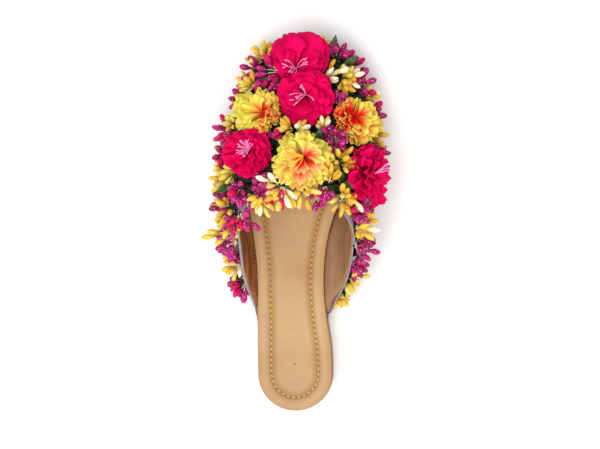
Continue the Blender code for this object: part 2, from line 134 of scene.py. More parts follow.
# Upper: wall, sections along the foot, and the line that the opening is cut to
WALL = 1.8
LINING_SHARE = 0.5  # share of the wall that is lining
COVER_GAP = GAP / 3  # between the cover cloth and the lining
WALL_FROM_SOLE_EDGE = 0.2
WALL_SHARE = 0.4
ROOF_FULLNESS = 2.2
UPPER_SECTIONS = (
    # y, lateral flare, medial flare, height of widest point, crown height
    (40.0, 8.2, 18.0, 40.0, 66.0),
    (66.0, 7.6, 17.8, 40.0, 66.0),
    (92.0, 5.4, 15.9, 40.0, 66.0),
    (112.0, 5.0, 10.8, 33.0, 62.0),
    (134.0, 3.6, 4.8, 25.0, 55.0),
    (150.0, 3.0, 3.2, 22.0, 49.5),
    (180.0, 2.6, 2.8, 19.0, 38.5),
    (207.0, 2.2, 2.2, 18.0, 31.0),
    (227.0, 2.0, 2.0, 17.0, 26.0),
)
TOE_BOX_Y = 188.0
TOPLINE = (
    # share of the way up, y on the lateral side, y on the medial side
    (0.00, 45.0, 41.0),
    (0.09, 53.0, 50.5),
    (0.18, 61.0, 60.0),
    (0.26, 69.0, 69.0),
    (0.40, 91.0, 91.0),
    (0.66, 110.0, 110.0),
    (0.84, 118.5, 118.5),
    (1.00, 121.5, 121.5),
)
UPPER_ROWS = 60
UPPER_COLUMNS_PER_SIDE = 44
BINDING_HEIGHT = 0.7  # half height of the folded edge
BINDING_LATERAL = (0.9, 0.95)  # its depth in the wall, and its half width across the wall
BINDING_MEDIAL = (0.45, 0.6)
BINDING_TURNS = (0.3, 0.7)  # stretch of the topline where it runs from the one to the other
BINDING_AROUND = 12
LINING_FOLDS = (
    # side, share of the way up at the back, at the throat, width as a share, height of the fold
    (LATERAL, 0.10, 0.22, 0.018, 0.9),
    (LATERAL, 0.15, 0.30, 0.020, 0.8),
    (LATERAL, 0.20, 0.42, 0.030, 1.1),
    (MEDIAL, 0.16, 0.34, 0.060, 0.5),
)
FOLDS_SLANT = (0.5, 1.0)  # stretch from toe to opening where a fold leaves its share at the throat
LINING_SETS_IN = (0.35, 0.75)  # stretch where the lining takes on its own shape
LINING_FILLS = (0.06, 0.15)  # share where the lining leaves the insole's edge, and where it meets the wall
LINING_HUGS = 0.36  # how far it leans over to the insole there
EDGE_BAND = 9.0  # width of the cover's bare edge along the topline
LINING_SEAM_Y = (62.0, 116.0)
LINING_SEAM_PITCH = 3.1
LINING_SEAM_SHARE = 0.078
LINING_STITCH = (1.3, 0.26)  # length and radius
LINING_STITCH_RISE = 0.7  # how far its upper side is turned up
LINING_SEAM_STEPS = 60

# Cloth flowers: seat and size as the solids have them, then the eye's place off the middle
Flower = namedtuple("Flower", "name colour kind side y share radius height lean eye_x eye_y")
FLOWERS = [
    # the eye's place is towards the medial side, then towards the toe
    Flower("flower_magenta_toe", "magenta", "broad", LATERAL, 209.2, 0.99, 20.0, 15.0, 0.6, -2.4, -10.6),
    Flower("flower_magenta_vamp", "magenta", "broad", MEDIAL, 183.0, 0.97, 19.6, 15.0, 0.3, 0.8, 1.6),
    Flower("flower_yellow_lateral", "yellow", "fringed", LATERAL, 173.5, 0.76, 17.6, 14.0, 0.8, 5.5, -2.0),
    Flower("flower_yellow_medial", "yellow", "fringed", MEDIAL, 168.0, 0.65, 17.2, 14.0, 0.9, -4.2, 0.6),
    Flower("flower_magenta_lateral", "magenta", "frilled", LATERAL, 147.0, 0.74, 17.0, 14.0, 0.8, 3.0, 0.0),
    Flower("flower_yellow_throat", "yellow", "fringed", MEDIAL, 141.0, 0.97, 21.2, 15.0, 0.4, 0.6, 2.2),
    Flower("flower_magenta_medial", "magenta", "frilled", MEDIAL, 132.5, 0.55, 20.4, 14.0, 0.9, 3.0, 2.0),
]
FLOWER_FOOT = 0.24  # radius of a flower's foot, as a share of its radius
FLOWER_WIDEST = 0.6
PETALS_MINGLE = 2.6  # how far the petals of two flowers reach in between each other
PRESS_SOFTNESS = 2.0  # how far before its neighbour a petal starts to give way
SHORTEST_PETAL = 5.0
PETAL_GIVES_WAY = 10  # power of the blend between a petal's full reach and the room that it has
PETAL_FACES = 0.05  # least cosine between a petal's direction and that of a neighbour it can meet
FULL_FOLDS_FROM = 0.85  # a petal shorter than this share of the flower's radius has lower folds
Whorl = namedtuple("Whorl", "petals reach base rim half_angle arch ruffle")
WHORLS = {
    # reach, base and rim are shares of the flower's radius and height, and half the angle is in degrees
    "broad": (
        Whorl(6, 1.00, 0.14, 0.36, 42, 0.95, 1.2),
        Whorl(5, 1.04, 0.24, 0.56, 46, 1.04, 1.8),
        Whorl(5, 0.90, 0.34, 0.78, 42, 1.02, 2.2),
        Whorl(4, 0.68, 0.44, 0.93, 46, 0.98, 2.2),
        Whorl(3, 0.42, 0.48, 1.02, 50, 0.90, 1.8),
    ),
    "frilled": (
        Whorl(8, 1.00, 0.10, 0.32, 31, 0.95, 1.1),
        Whorl(7, 1.06, 0.22, 0.54, 34, 1.02, 1.6),
        Whorl(7, 0.90, 0.34, 0.78, 32, 1.00, 1.9),
        Whorl(6, 0.66, 0.42, 0.93, 34, 0.96, 2.0),
        Whorl(5, 0.42, 0.46, 1.02, 38, 0.90, 1.6),
    ),
    "fringed": (
        Whorl(8, 0.98, 0.10, 0.34, 30, 0.95, 1.6),
        Whorl(7, 1.00, 0.20, 0.54, 33, 1.00, 2.1),
        Whorl(6, 0.90, 0.30, 0.74, 36, 1.00, 1.9),
        Whorl(5, 0.76, 0.50, 0.88, 40, 0.95, 1.8),
        Whorl(4, 0.58, 0.72, 1.00, 44, 0.90, 1.7),
    ),
}
PETAL_STEPS = (11, 41)  # points from base to rim, and across
PETAL_BASE = 0.07  # where a petal starts, as a share of its length
PETAL_THICKNESS = 0.35
PETAL_FAN = (0.5, 0.8)  # its width at the base, as a share, and the power with which it opens
PETAL_STRAYS = 0.35  # how far it leaves its place in the whorl, as a share of the angle to the next
PETAL_CORNERS = (0.22, 4)  # how far the rim falls back at both sides, and the power of that fall
EYE_FOLLOWS = 0.25  # pull of the eye to the middle where a whorl is wider than the flower
PETAL_EDGE = {
    # lobes along a petal's rim and their depth, teeth and theirs
    "broad": (3, 0.05, 11, 0.02),
    "frilled": (4, 0.08, 13, 0.03),
    "fringed": (4, 0.15, 7, 0.04),
}
LOBE_ROUNDNESS = 0.7
PETAL_FOLDS = {
    # waves of the ruffle across a petal, rise of its two sides, pleats across and their depth
    "broad": (1.8, 0.7, 4, 0.18),
    "frilled": (2.2, 0.8, 5, 0.20),
    "fringed": (1.8, 1.0, 3, 0.22),
}
PETAL_FRILL = {
    # waves of the fine frill along the rim and their height, and height of the crumples
    "broad": (5.0, 0.45, 1.5),
    "frilled": (6.0, 0.60, 1.3),
    "fringed": (4.5, 0.50, 0.9),
}
PETAL_TWIST = 1.0  # rise of one side of a petal over the other
CUP_LEVEL = 0.4  # share of the cup by which its middle sinks, while its sides rise by the rest
FOLD_SHIFTS = (3, 5)  # how far a petal's own draws shift its ruffle and its frill
CRUMPLES = ((3.5, 4, 3), (5, 3, 3))  # waves, slant and shift of the crumples across a petal and along it
PETAL_DISORDER = {
    # how petals differ: in length, height of the rim, sideways bend in radians, and width
    "broad": (0.07, 1.5, 0.16, 0.20),
    "frilled": (0.12, 1.4, 0.14, 0.15),
    "fringed": (0.10, 1.7, 0.20, 0.22),
}
PETAL_FLUSH = {
    # how far the throat's colour climbs the petals, how much more on one side, that side's heading, and
    # how much more on the inner petals
    "flower_yellow_lateral": (0.50, 0.32, 345, 0.2),
    "flower_yellow_medial": (0.70, 0.28, 165, 0.35),
    "flower_yellow_throat": (0.46, 0.24, 262, 0.6),
}
# for the magenta petals this sets how far their painted shade climbs from the base
PLAIN_FLUSH = (0.25, 0.0, 0, 0.0)
FLUSH_VARIES = 0.08
PETAL_DRAWS = 11  # random numbers for a petal: six for its place, size and tone, five for its bends
FLOWER_SEED = 700  # the first flower's, and the others follow
STAMENS = (
    # flower, colour, count, heading from the medial side towards the toe, spread, length
    ("flower_magenta_toe", "pink", 6, 178, 22, 10.5),
    ("flower_magenta_toe", "pink", 4, 243, 16, 9.0),
    ("flower_magenta_toe", "pink", 4, 20, 24, 9.5),
    ("flower_magenta_vamp", "pink", 7, 212, 26, 12.0),
    ("flower_magenta_vamp", "pink", 2, 322, 8, 9.5),
    ("flower_magenta_vamp", "pink", 3, 125, 24, 6.5),
    ("flower_magenta_lateral", "pink", 10, 230, 70, 7.5),
    ("flower_magenta_lateral", "pink", 9, 90, 80, 7.5),
    ("flower_magenta_medial", "pink", 11, 38, 26, 10.5),
    ("flower_yellow_throat", "golden", 6, 182, 20, 17.0),
    ("flower_yellow_throat", "golden", 4, 232, 14, 14.0),
)
STAMENS_FROM = {"broad": 0.72, "frilled": 0.72, "fringed": 0.95}  # of the flower's height
STAMENS_RISE = {"broad": 0.38, "frilled": 0.40, "fringed": 0.44}
STAMEN_RADIUS = 0.23
ANTHER_RADIUS = 0.52
ANTHER_AT = (0.88, 0.1)  # middle and width of the anther, as shares of the stamen
STAMEN_BOW = 1.4  # how far a stamen bends aside
STAMEN_STRAYS = 9  # degrees off its place in the fan
STAMEN_LENGTHS = (0.55, 1.0)  # shares of the tuft's length
STAMEN_LIFT = 2.2  # most that one rises over the others
STAMEN_FLATNESS = 0.6
STAMEN_STEPS = (15, 8)  # rings along a stamen, and points round it

# Bud sprays: where each bound heart sits, and the share of its buds that are of the second kind
SPRAYS = (
    # colour, side, y, share of the way up, share of crimson or cream buds
    ("yellow", LATERAL, 210.0, 0.45, 0.0),
    ("magenta", LATERAL, 204.0, 0.50, 0.2),
    ("yellow", LATERAL, 196.0, 0.42, 0.2),
    ("yellow", LATERAL, 168.0, 0.48, 0.0),
    ("magenta", LATERAL, 163.0, 0.38, 0.4),
    ("magenta", LATERAL, 147.0, 0.36, 0.2),
    ("yellow", LATERAL, 131.0, 0.42, 0.2),
    ("magenta", LATERAL, 124.0, 0.68, 0.3),
    ("magenta", LATERAL, 126.0, 0.80, 0.0),
    ("magenta", LATERAL, 116.0, 0.36, 0.0),
    ("yellow", LATERAL, 113.0, 0.50, 0.0),
    ("yellow", LATERAL, 101.0, 0.30, 0.2),
    ("magenta", LATERAL, 107.0, 0.57, 0.5),
    ("yellow", LATERAL, 119.5, 0.82, 0.2),
    ("magenta", LATERAL, 89.0, 0.28, 0.1),
    ("yellow", LATERAL, 76.0, 0.20, 0.1),
    ("magenta", LATERAL, 62.5, 0.12, 0.2),
    ("yellow", MEDIAL, 197.0, 0.66, 0.4),
    ("magenta", MEDIAL, 211.0, 0.52, 0.1),
    ("magenta", MEDIAL, 193.0, 0.44, 0.3),
    ("yellow", MEDIAL, 187.0, 0.36, 0.1),
    ("magenta", MEDIAL, 174.0, 0.34, 0.2),
    ("yellow", MEDIAL, 161.0, 0.34, 0.2),
    ("magenta", MEDIAL, 150.0, 0.34, 0.2),
    ("yellow", MEDIAL, 136.0, 0.30, 0.2),
    ("magenta", MEDIAL, 122.0, 0.34, 0.2),
    ("magenta", MEDIAL, 112.5, 0.56, 0.2),
    ("yellow", MEDIAL, 104.0, 0.40, 0.1),
    ("magenta", MEDIAL, 92.0, 0.33, 0.1),
    ("magenta", MEDIAL, 76.0, 0.24, 0.1),
    ("yellow", MEDIAL, 65.0, 0.14, 0.0),
    ("yellow", MEDIAL, 53.5, 0.06, 0.0),
    ("yellow", LATERAL, 122.5, 0.94, 0.5),
    ("magenta", MEDIAL, 121.5, 0.88, 0.1),
    ("yellow", MEDIAL, 120.0, 0.72, 0.0),
    ("yellow", MEDIAL, 141.0, 0.76, 0.1),
    ("magenta", MEDIAL, 155.0, 0.80, 0.0),
    ("yellow", LATERAL, 153.0, 0.14, 0.2),
    ("yellow", LATERAL, 139.0, 0.16, 0.2),
    ("magenta", LATERAL, 126.0, 0.16, 0.2),
    ("magenta", LATERAL, 190.0, 0.16, 0.2),
    ("magenta", MEDIAL, 204.0, 0.20, 0.2),
    ("yellow", MEDIAL, 180.0, 0.12, 0.2),
    ("yellow", MEDIAL, 150.0, 0.12, 0.2),
    ("magenta", MEDIAL, 135.0, 0.12, 0.2),
    ("yellow", MEDIAL, 112.0, 0.18, 0.2),
    ("magenta", LATERAL, 183.0, 0.52, 0.2),
    ("magenta", LATERAL, 156.0, 0.54, 0.2),
    ("magenta", LATERAL, 217.0, 0.72, 0.2),
    ("yellow", MEDIAL, 218.0, 0.72, 0.2),
)
SPRAY_HEART = 1.6
SHORTEST_BUD = 5.5  # no tip lies nearer to its heart than this
BUD_CLEARANCE = 2.6  # corners this near to a bud's line belong to that bud
TIP_DEPTH = 0.6  # corners this near to the farthest one are its tip
BUD_SIZE = {"magenta": (9.8, 2.35), "yellow": (11.0, 2.0)}  # length and radius
BUD_STEPS = (8, 8)  # rings along a bud, and points round it
BUD_LENGTHS = (0.8, 1.08)  # shares of that length
BUD_WIDTHS = (0.78, 1.08)  # shares of that radius
BUD_ROOM = 0.85  # most of the way from heart to tip that a bud takes up
BUD_TURN = 0.01  # small turn of the first point round a bud
BUD_LEANS = 1.35  # over 1, a bud is widest beyond its middle
BUD_ENDS = (0.9, 0.5)  # power of its outline at the stem, where it tapers, and at the blunt tip
FILLING_BUDS = 26  # places tried for more buds round a spray's middle line
FILLING_CONE = 72  # half the spread of a bound spray, in degrees
FILLING_APART = math.radians(21)  # least angle between two buds of a spray
FILLING_REACH = (0.52, 0.97)  # of the spray's mean reach
GOLDEN_ANGLE = math.radians(137.508)
SPRAYS_STEEPEST = 0.6  # most rise of a filling bud, unless the spray itself is steeper
STEEPER_BY = 0.1  # how much steeper than such a spray's middle line it may be
SPRAYS_DIP = -0.05  # a bound spray stays over its seat's level
LOWEST_BUD = 3.0  # least height of a bud's tip over the floor
Filler = namedtuple("Filler", "colour side y share lift heading rise reach cone odd_share")
FILLERS = [
    # the heading turns from the medial side to the toe, and the cone is half the spray's spread
    Filler("magenta", LATERAL, 202.0, 0.82, 7.0, 188, 8, 17.0, 60, 0.15),
    Filler("magenta", LATERAL, 194.0, 0.84, 5.0, 215, 20, 9.0, 50, 0.5),
    Filler("yellow", LATERAL, 193.0, 0.60, 4.0, 165, 20, 13.0, 60, 0.3),
    Filler("magenta", LATERAL, 190.0, 0.72, 3.0, 120, 35, 9.0, 60, 0.5),
    Filler("yellow", MEDIAL, 197.0, 0.84, 6.0, 22, 10, 19.0, 50, 0.4),
    Filler("yellow", MEDIAL, 194.0, 0.70, 4.0, 335, 15, 13.0, 50, 0.0),
    Filler("yellow", LATERAL, 163.5, 0.98, 6.0, 185, 10, 12.0, 70, 0.1),
    Filler("yellow", MEDIAL, 163.0, 0.86, 4.0, 100, 15, 10.0, 60, 0.4),
    Filler("yellow", LATERAL, 162.0, 1.00, 7.0, 20, 10, 10.0, 70, 0.3),
    Filler("magenta", LATERAL, 155.8, 0.90, 3.0, 90, 35, 9.0, 60, 0.2),
    Filler("yellow", LATERAL, 126.0, 0.94, 5.0, 260, 5, 17.0, 70, 0.4),
    Filler("yellow", MEDIAL, 124.7, 0.97, 4.0, 290, 0, 15.0, 70, 0.1),
    Filler("magenta", MEDIAL, 126.0, 0.84, 5.0, 262, 10, 15.0, 60, 0.1),
    Filler("magenta", LATERAL, 122.5, 0.88, 3.0, 300, 0, 14.0, 60, 0.8),
    Filler("magenta", LATERAL, 109.0, 0.62, 7.0, 318, 0, 18.0, 50, 0.0),
    Filler("magenta", LATERAL, 107.5, 0.60, 6.0, 250, 8, 14.0, 50, 1.0),
    Filler("magenta", LATERAL, 122.0, 0.72, 5.0, 262, 5, 18.0, 50, 0.2),
    Filler("yellow", LATERAL, 120.0, 0.78, 4.0, 300, 5, 17.0, 60, 0.1),
    Filler("magenta", LATERAL, 122.0, 0.76, 6.0, 12, 8, 14.0, 50, 0.0),
    Filler("yellow", MEDIAL, 122.6, 0.65, 5.0, 255, 10, 18.0, 60, 0.25),
    Filler("yellow", LATERAL, 104.4, 0.46, 4.0, 240, 15, 15.0, 60, 0.1),
    Filler("yellow", LATERAL, 137.0, 0.59, 5.0, 210, 20, 14.0, 60, 0.2),
    Filler("yellow", MEDIAL, 136.5, 0.75, 5.0, 175, 25, 8.0, 60, 0.0),
    Filler("yellow", MEDIAL, 128.0, 0.80, 9.0, 85, 12, 13.0, 60, 0.1),
    Filler("yellow", LATERAL, 127.0, 0.92, 7.0, 162, 12, 16.0, 42, 0.5),
    Filler("yellow", MEDIAL, 65.0, 0.16, 0.0, 5, 5, 19.0, 10, 0.0),
    Filler("magenta", MEDIAL, 181.0, 0.77, 4.0, 40, 30, 11.0, 60, 0.2),
    Filler("magenta", LATERAL, 221.0, 0.55, 2.0, 110, 0, 9.0, 60, 0.2),
    Filler("yellow", MEDIAL, 221.0, 0.45, 2.0, 70, 0, 9.0, 60, 0.2),
    Filler("magenta", LATERAL, 114.0, 0.45, 6.0, 190, 15, 16.0, 50, 0.1),
    Filler("yellow", LATERAL, 95.0, 0.37, 3.0, 186, 5, 24.0, 24, 0.0),
    Filler("magenta", LATERAL, 90.0, 0.36, 2.0, 200, 10, 16.0, 55, 0.0),
    Filler("yellow", MEDIAL, 99.0, 0.42, 3.0, 355, 5, 17.0, 50, 0.3),
    Filler("magenta", MEDIAL, 87.0, 0.36, 2.0, 345, 0, 18.0, 45, 0.0),
]
FILLERS_DIP = 0.2  # how far under its seat's level a loose spray may hang, as a share of its reach
FILLERS_STEEPEST = 0.42
STEM_RADIUS = 0.27
STEM_BOW = 0.6
STEM_REACHES = 1.12  # a stem ends inside its bud
STEM_STEPS = (7, 6)  # rings along a stem, and points round it
KNOT_RADIUS = 0.9
KNOT_STEPS = (9, 10)
SPRAY_SEED = 41

# Leaves: those that the photo shows, then a carpet of small ones between the sprays, darkened as painted
# shade of the gaps
LEAVES = (
    # side, y, share of the way up, heading from the medial side towards the toe, rise, length
    (LATERAL, 200.0, 0.72, 255, 40, 14.0),
    (MEDIAL, 214.0, 0.60, 75, 10, 14.0),
    (MEDIAL, 204.0, 0.55, 45, 20, 14.0),
    (LATERAL, 126.0, 0.60, 200, 25, 16.0),
    (LATERAL, 112.0, 0.42, 235, 15, 16.0),
    (MEDIAL, 127.0, 0.71, 122, 52, 17.0),
    (MEDIAL, 154.0, 0.90, 75, 55, 16.0),
    (MEDIAL, 129.0, 0.74, 330, 40, 14.0),
    (MEDIAL, 127.0, 0.80, 255, 35, 14.0),
    (MEDIAL, 90.0, 0.36, 280, 20, 14.0),
    (LATERAL, 95.0, 0.34, 240, 10, 16.0),
)
CARPET_ROWS = (20, 16)  # leaves along the foot and up each side
CARPET_Y = (8.0, 221.0)  # distance from the topline where the carpet starts, and y where it ends
CARPET_SHARE = (0.10, 0.98)
CARPET_SHAKE = 0.03  # how far a leaf leaves its place, as a share of the way along and up
CARPET_LIFT = 0.6
CARPET_LEAN = (0.7, 1.0, 0.6)  # a leaf's way outwards, and the most of it along the foot and upwards
CARPET_RISE = 0.2  # how far it stands off the upper
CARPET_LENGTH = (9.0, 13.0)
CARPET_SEED = 5
LEAF_STEPS = (7, 5)
LEAF_WIDTH = 0.42  # of its length
LEAF_LEANS = 0.8  # under 1, a leaf is widest nearer to its base
LEAF_RISE = (0.10, 0.07)  # arch of the rib, and rise of the edges over it, as shares of its length
LEAF_LIFT = 1.5
LEAF_FACES_UP = 0.4
LEAF_THICKNESS = 0.4

# Looks: the mix node's sockets for colours, the wave texture's length at a scale of 1, and like finishes
MIX_FIRST, MIX_SECOND, MIX_RESULT = 6, 7, 2
WAVE_LENGTH = 2 * math.pi / 20
CLOTH_SHADE = 0.72  # darkest share of a cloth's colour
PETAL_LOOKS = {
    # material, colours from base to rim, tints of the darkest petal and of the painted shade in creases, and
    # wander of the veins
    "magenta": (
        "magenta_petal_satin",
        # the magenta's dark base stop is painted shade deep in the flower's heart
        ((0.0, (140, 0, 42)), (0.3, (206, 0, 64)), (0.7, (224, 0, 87))),
        (0.84, 0.7, 0.78), (0.82, 0.7, 0.74), 0.6),
    "yellow": (
        "yellow_petal_satin",
        ((0.0, (208, 10, 2)), (0.2, (230, 58, 22)), (0.42, (240, 148, 84)),
         (0.62, (236, 202, 84)), (0.95, (232, 216, 96))),
        (0.88, 0.92, 0.7), (0.74, 0.70, 0.42), 0.35),
    "flower_yellow_throat": (
        "salmon_petal_satin",
        ((0.0, (220, 30, 14)), (0.12, (236, 92, 54)), (0.34, (244, 152, 112)),
         (0.60, (238, 202, 96)), (0.95, (228, 218, 98))),
        (0.88, 0.93, 0.7), (0.74, 0.70, 0.42), 0.35),
}
MOTTLED_LOOKS = {
    # material, its two colours, clouds to a metre, roughness and depth of the relief
    "pink": ("pink_stamen", (226, 118, 180), (246, 160, 212), 900.0, 0.6, 0.05),
    "golden": ("golden_stamen", (248, 186, 24), (255, 220, 70), 900.0, 0.6, 0.05),
    "stem": ("pale_stem", (206, 196, 140), (236, 226, 190), 500.0, 0.7, 0.05),
    "leaf": ("green_leaf_cloth", (34, 58, 26), (76, 112, 48), 160.0, 0.6, 0.2),
    # green leaf cloth, darkened to near black as painted shade of the gaps between the sprays
    "leaf_in_shade": ("green_leaf_cloth_in_painted_shade", (12, 20, 9), (34, 52, 24), 160.0, 0.6, 0.2),
    "thread": ("cream_thread", (208, 170, 120), (228, 194, 146), 1500.0, 0.7, 0.08),
    "brown_thread": ("brown_thread", (140, 102, 66), (172, 134, 94), 1500.0, 0.7, 0.08),
    # painted shade: the awl holes are flat dark beads laid on the leather
    "hole": ("painted_awl_hole_shade", (94, 64, 36), (118, 84, 52), 1500.0, 0.8, 0.05),
    "pin": ("dull_pin", (132, 92, 58), (154, 112, 74), 1500.0, 0.8, 0.05),
}

# Camera: over the shoe's inner side, looking down at it
CAMERA_AT = (63.0, 106.0, 1000.0)
CAMERA_LOOKS_AT = (3.5, 101.0, 20.0)
FRAME_WIDTH = 404.0  # width of what the camera sees at the insole
SENSOR_WIDTH = 36.0
FLOOR_SIZE = 6000.0
FLOOR_DROP = 0.2
WORLD_STRENGTH = 0.81
SOFT_LIGHTS = (
    # name, place, size, power
    ("key", (-400.0, -160.0, 1100.0), 900.0, 8.8),
    ("fill", (360.0, -640.0, 860.0), 900.0, 5.6),
)


# Shapes of the last, as the part's source has them


def smooth(rows, column, y):
    """One column of a table read at y, through a cubic curve that is level at both ends."""
    at = np.array([row[0] for row in rows])
    value = np.array([row[column] for row in rows])
    slope = np.zeros(len(at))
    slope[1:-1] = (value[2:] - value[:-2]) / (at[2:] - at[:-2])
    y = np.clip(np.asarray(y, float), at[0], at[-1])
    i = np.clip(np.searchsorted(at, y, side="right") - 1, 0, len(at) - 2)
    span = at[i + 1] - at[i]
    t = (y - at[i]) / span
    rise = t * t * (3 - 2 * t)
    return (
        value[i] * (1 - rise)
        + value[i + 1] * rise
        + span * t * (1 - t) * (slope[i] * (1 - t) - slope[i + 1] * t)
    )


def of_side(side, rows, y):
    """A table's lateral or medial column at y, by the sign of side."""
    return np.where(np.asarray(side) < 0, smooth(rows, 1, y), smooth(rows, 2, y))


def ramp(y, start, end):
    """0 before start, 1 after end, and smooth between them."""
    t = np.clip((np.asarray(y, float) - start) / (end - start), 0.0, 1.0)
    return t * t * (3 - 2 * t)


def closing(y, start, tip):
    """1 up to start, then down to 0 at the tip along a superellipse, as a rounded toe does."""
    u = np.clip((np.asarray(y, float) - start) / (tip - start), 0.0, 1.0)
    return (1 - u**TOE_FULLNESS) ** (1 / TOE_ROUNDNESS)


def middle(y):
    """x of the foot's middle line, which swings from the ball's middle to the toe tip."""
    ball = (INSOLE_OUTLINE[-1][2] - INSOLE_OUTLINE[-1][1]) / 2
    return ball + (TOE_TIP_X - ball) * ramp(y, BALL_Y, TOE_TIP_Y)


def edge(side, y, grow):
    """x of the insole's outline at y, moved outwards by grow: heel arc, drawn waist and ball, then toe."""
    y = np.asarray(y, float)
    heel = np.sqrt(np.maximum((HEEL_RADIUS + grow) ** 2 - np.minimum(y, 0.0) ** 2, 0.0))
    waist = of_side(side, INSOLE_OUTLINE, y) + grow
    half_ball = (INSOLE_OUTLINE[-1][1] + INSOLE_OUTLINE[-1][2]) / 2 + grow
    toe = half_ball * closing(y, BALL_Y, TOE_TIP_Y - WELT_AT_VAMP + grow)
    return np.where(y < 0, side * heel, np.where(y < BALL_Y, side * waist, middle(y) + side * toe))


def welt(y):
    """How far the sole stands past the insole: little at the heel, and the wall's room at the vamp."""
    return WELT_AT_HEEL + (WELT_AT_VAMP - WELT_AT_HEEL) * ramp(y, *WELT_GROWS)


def sole_top(y):
    """The height of the sole's upper face at y."""
    return smooth(SOLE_TOP, 1, y)


def sole_tread(y):
    """The tread's height: flat under heel and ball, raised under the arch and at the toe."""
    front = np.maximum(smooth(SOLE_TREAD, 1, y), 0.0)
    return np.where(np.asarray(y, float) <= HEEL_BREAST[0], 0.0, front)


def upper_point(side, y, share, inset):
    """(x, z) of the upper at y, a share of the way from sole edge (0) to crown (1), inset into its wall.

    The side wall leans out along a quarter sine to the widest point, and the roof is a quarter of a
    superellipse from there to the crown. At the toe both shrink to one point.
    """
    tip = TOE_TIP_Y - WALL_FROM_SOLE_EDGE - inset
    rounding = closing(y, TOE_BOX_Y, tip)
    base_z = sole_top(y) + GAP
    base = edge(side, y, WELT_AT_VAMP - WALL_FROM_SOLE_EDGE - inset)
    widest = base + side * of_side(side, UPPER_SECTIONS, y) * closing(y, BALL_Y, tip)
    widest_z = base_z + (smooth(UPPER_SECTIONS, 3, y) - base_z) * rounding
    crown_z = base_z + (smooth(UPPER_SECTIONS, 4, y) - inset - base_z) * rounding
    ridge = middle(y)
    wall = np.clip(share / WALL_SHARE, 0.0, 1.0)
    turn = np.clip((share - WALL_SHARE) / (1 - WALL_SHARE), 0.0, 1.0) * math.pi / 2
    power = 2 / ROOF_FULLNESS
    wall_x = base + (widest - base) * np.sin(wall * math.pi / 2)
    wall_z = base_z + (widest_z - base_z) * wall
    roof_x = ridge + (widest - ridge) * np.maximum(np.cos(turn), 0.0) ** power
    roof_z = widest_z + (crown_z - widest_z) * np.sin(turn) ** power
    on_wall = share <= WALL_SHARE
    return np.where(on_wall, wall_x, roof_x), np.where(on_wall, wall_z, roof_z)


def unit(vectors):
    """Vectors divided by their lengths."""
    return vectors / np.linalg.norm(vectors, axis=-1, keepdims=True)


def on_upper(side, y, share, lift):
    """Points lifted off the upper's outer face, and the normals there: the cross of two small steps."""
    side, y, share = np.broadcast_arrays(np.float64(side), np.float64(y), np.float64(share))
    step_y, step_share = 0.5, 0.01

    def outer(y, share):
        x, z = upper_point(side, y, share, 0.0)
        return np.stack([x, y, z], axis=-1)

    spot = outer(y, share)
    above = np.where(share < step_share, share + step_share, share)
    normal = np.cross(outer(y + step_y, share) - spot, outer(y, share - step_share) - outer(y, above))
    normal = unit(normal) * -side[..., None]
    return spot + normal * lift, normal


def square_to(vectors, way):
    """What is left of each vector when its part along the way is taken off."""
    return vectors - way * (vectors * way).sum(axis=1, keepdims=True)


def frame_of(axis):
    """Two directions square to each axis, the second as near to the toe as it can be."""
    ahead = unit(FORWARDS - axis * axis[..., 1:2])
    return np.cross(ahead, axis), ahead


# Meshes from grids


def grid_faces(rows, columns, wrap=False):
    """Quads of a grid of points stored row by row. Wrap joins the last column to the first."""
    r = np.arange(rows - 1)[:, None]
    c = np.arange(columns if wrap else columns - 1)[None, :]
    after = (c + 1) % columns
    corners = [r * columns + c, r * columns + after, (r + 1) * columns + after, (r + 1) * columns + c]
    return np.stack(np.broadcast_arrays(*corners), axis=-1).reshape(-1, 4)


def repeated(faces, count, points_each):
    """The same faces for each of count shapes, whose points follow each other."""
    return (faces[None] + np.arange(count)[:, None, None] * points_each).reshape(-1, 4)


def weld(mesh):
    """Closes seams and poles by merging points that coincide, and turns each closed shell's faces out."""
    skin = bmesh.new()
    skin.from_mesh(mesh)
    bmesh.ops.remove_doubles(skin, verts=skin.verts, dist=WELD * MM)
    bmesh.ops.recalc_face_normals(skin, faces=skin.faces)
    skin.to_mesh(mesh)
    skin.free()


def add_piece(name, points, faces, look, slot, stands_for=(), **marks):
    """A piece from points in millimetres and quads. Marks are values per point that its look reads."""
    points = np.asarray(points, float).reshape(-1, 3)
    mesh = bpy.data.meshes.new(name)
    mesh.vertices.add(len(points))
    mesh.vertices.foreach_set("co", np.float32(points * MM).ravel())
    mesh.loops.add(faces.size)
    mesh.loops.foreach_set("vertex_index", np.int32(faces).ravel())
    mesh.polygons.add(len(faces))
    mesh.polygons.foreach_set("loop_start", np.arange(0, faces.size, 4, dtype=np.int32))
    mesh.update(calc_edges=True)
    for title, values in marks.items():
        layer = mesh.attributes.new(title, "FLOAT", "POINT")
        layer.data.foreach_set("value", np.float32(values).ravel())
    weld(mesh)
    mesh.shade_smooth()
    mesh.materials.append(look)
    made = bpy.data.objects.new(name, mesh)
    bpy.context.scene.collection.objects.link(made)
    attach(made, "root")
    if stands_for:
        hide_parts(*stands_for)
    return made


def thicken(piece, thickness):
    """Gives a sheet of petals or leaves its thickness, half to each side."""
    wall = piece.modifiers.new("cloth thickness", "SOLIDIFY")
    wall.thickness = thickness * MM
    wall.offset = 0.0
    return piece


def tubes(paths, radii, upright, around, flatten=1.0):
    """Round bodies along paths: a ring of the given radius round each path point, square to the path.

    paths is count by steps by 3 and radii count by steps. Upright, which no path may run along, gives
    the direction in which flatten scales the rings.
    """
    count, steps = paths.shape[:2]
    along = unit(np.gradient(paths, axis=1))
    across = unit(np.cross(along, upright))
    over = np.cross(across, along) * flatten
    turn = np.arange(around) * 2 * math.pi / around
    ring = across[:, :, None] * np.cos(turn)[:, None] + over[:, :, None] * np.sin(turn)[:, None]
    points = paths[:, :, None] + ring * radii[:, :, None, None]
    return points.reshape(-1, 3), repeated(grid_faces(steps, around, wrap=True), count, steps * around)


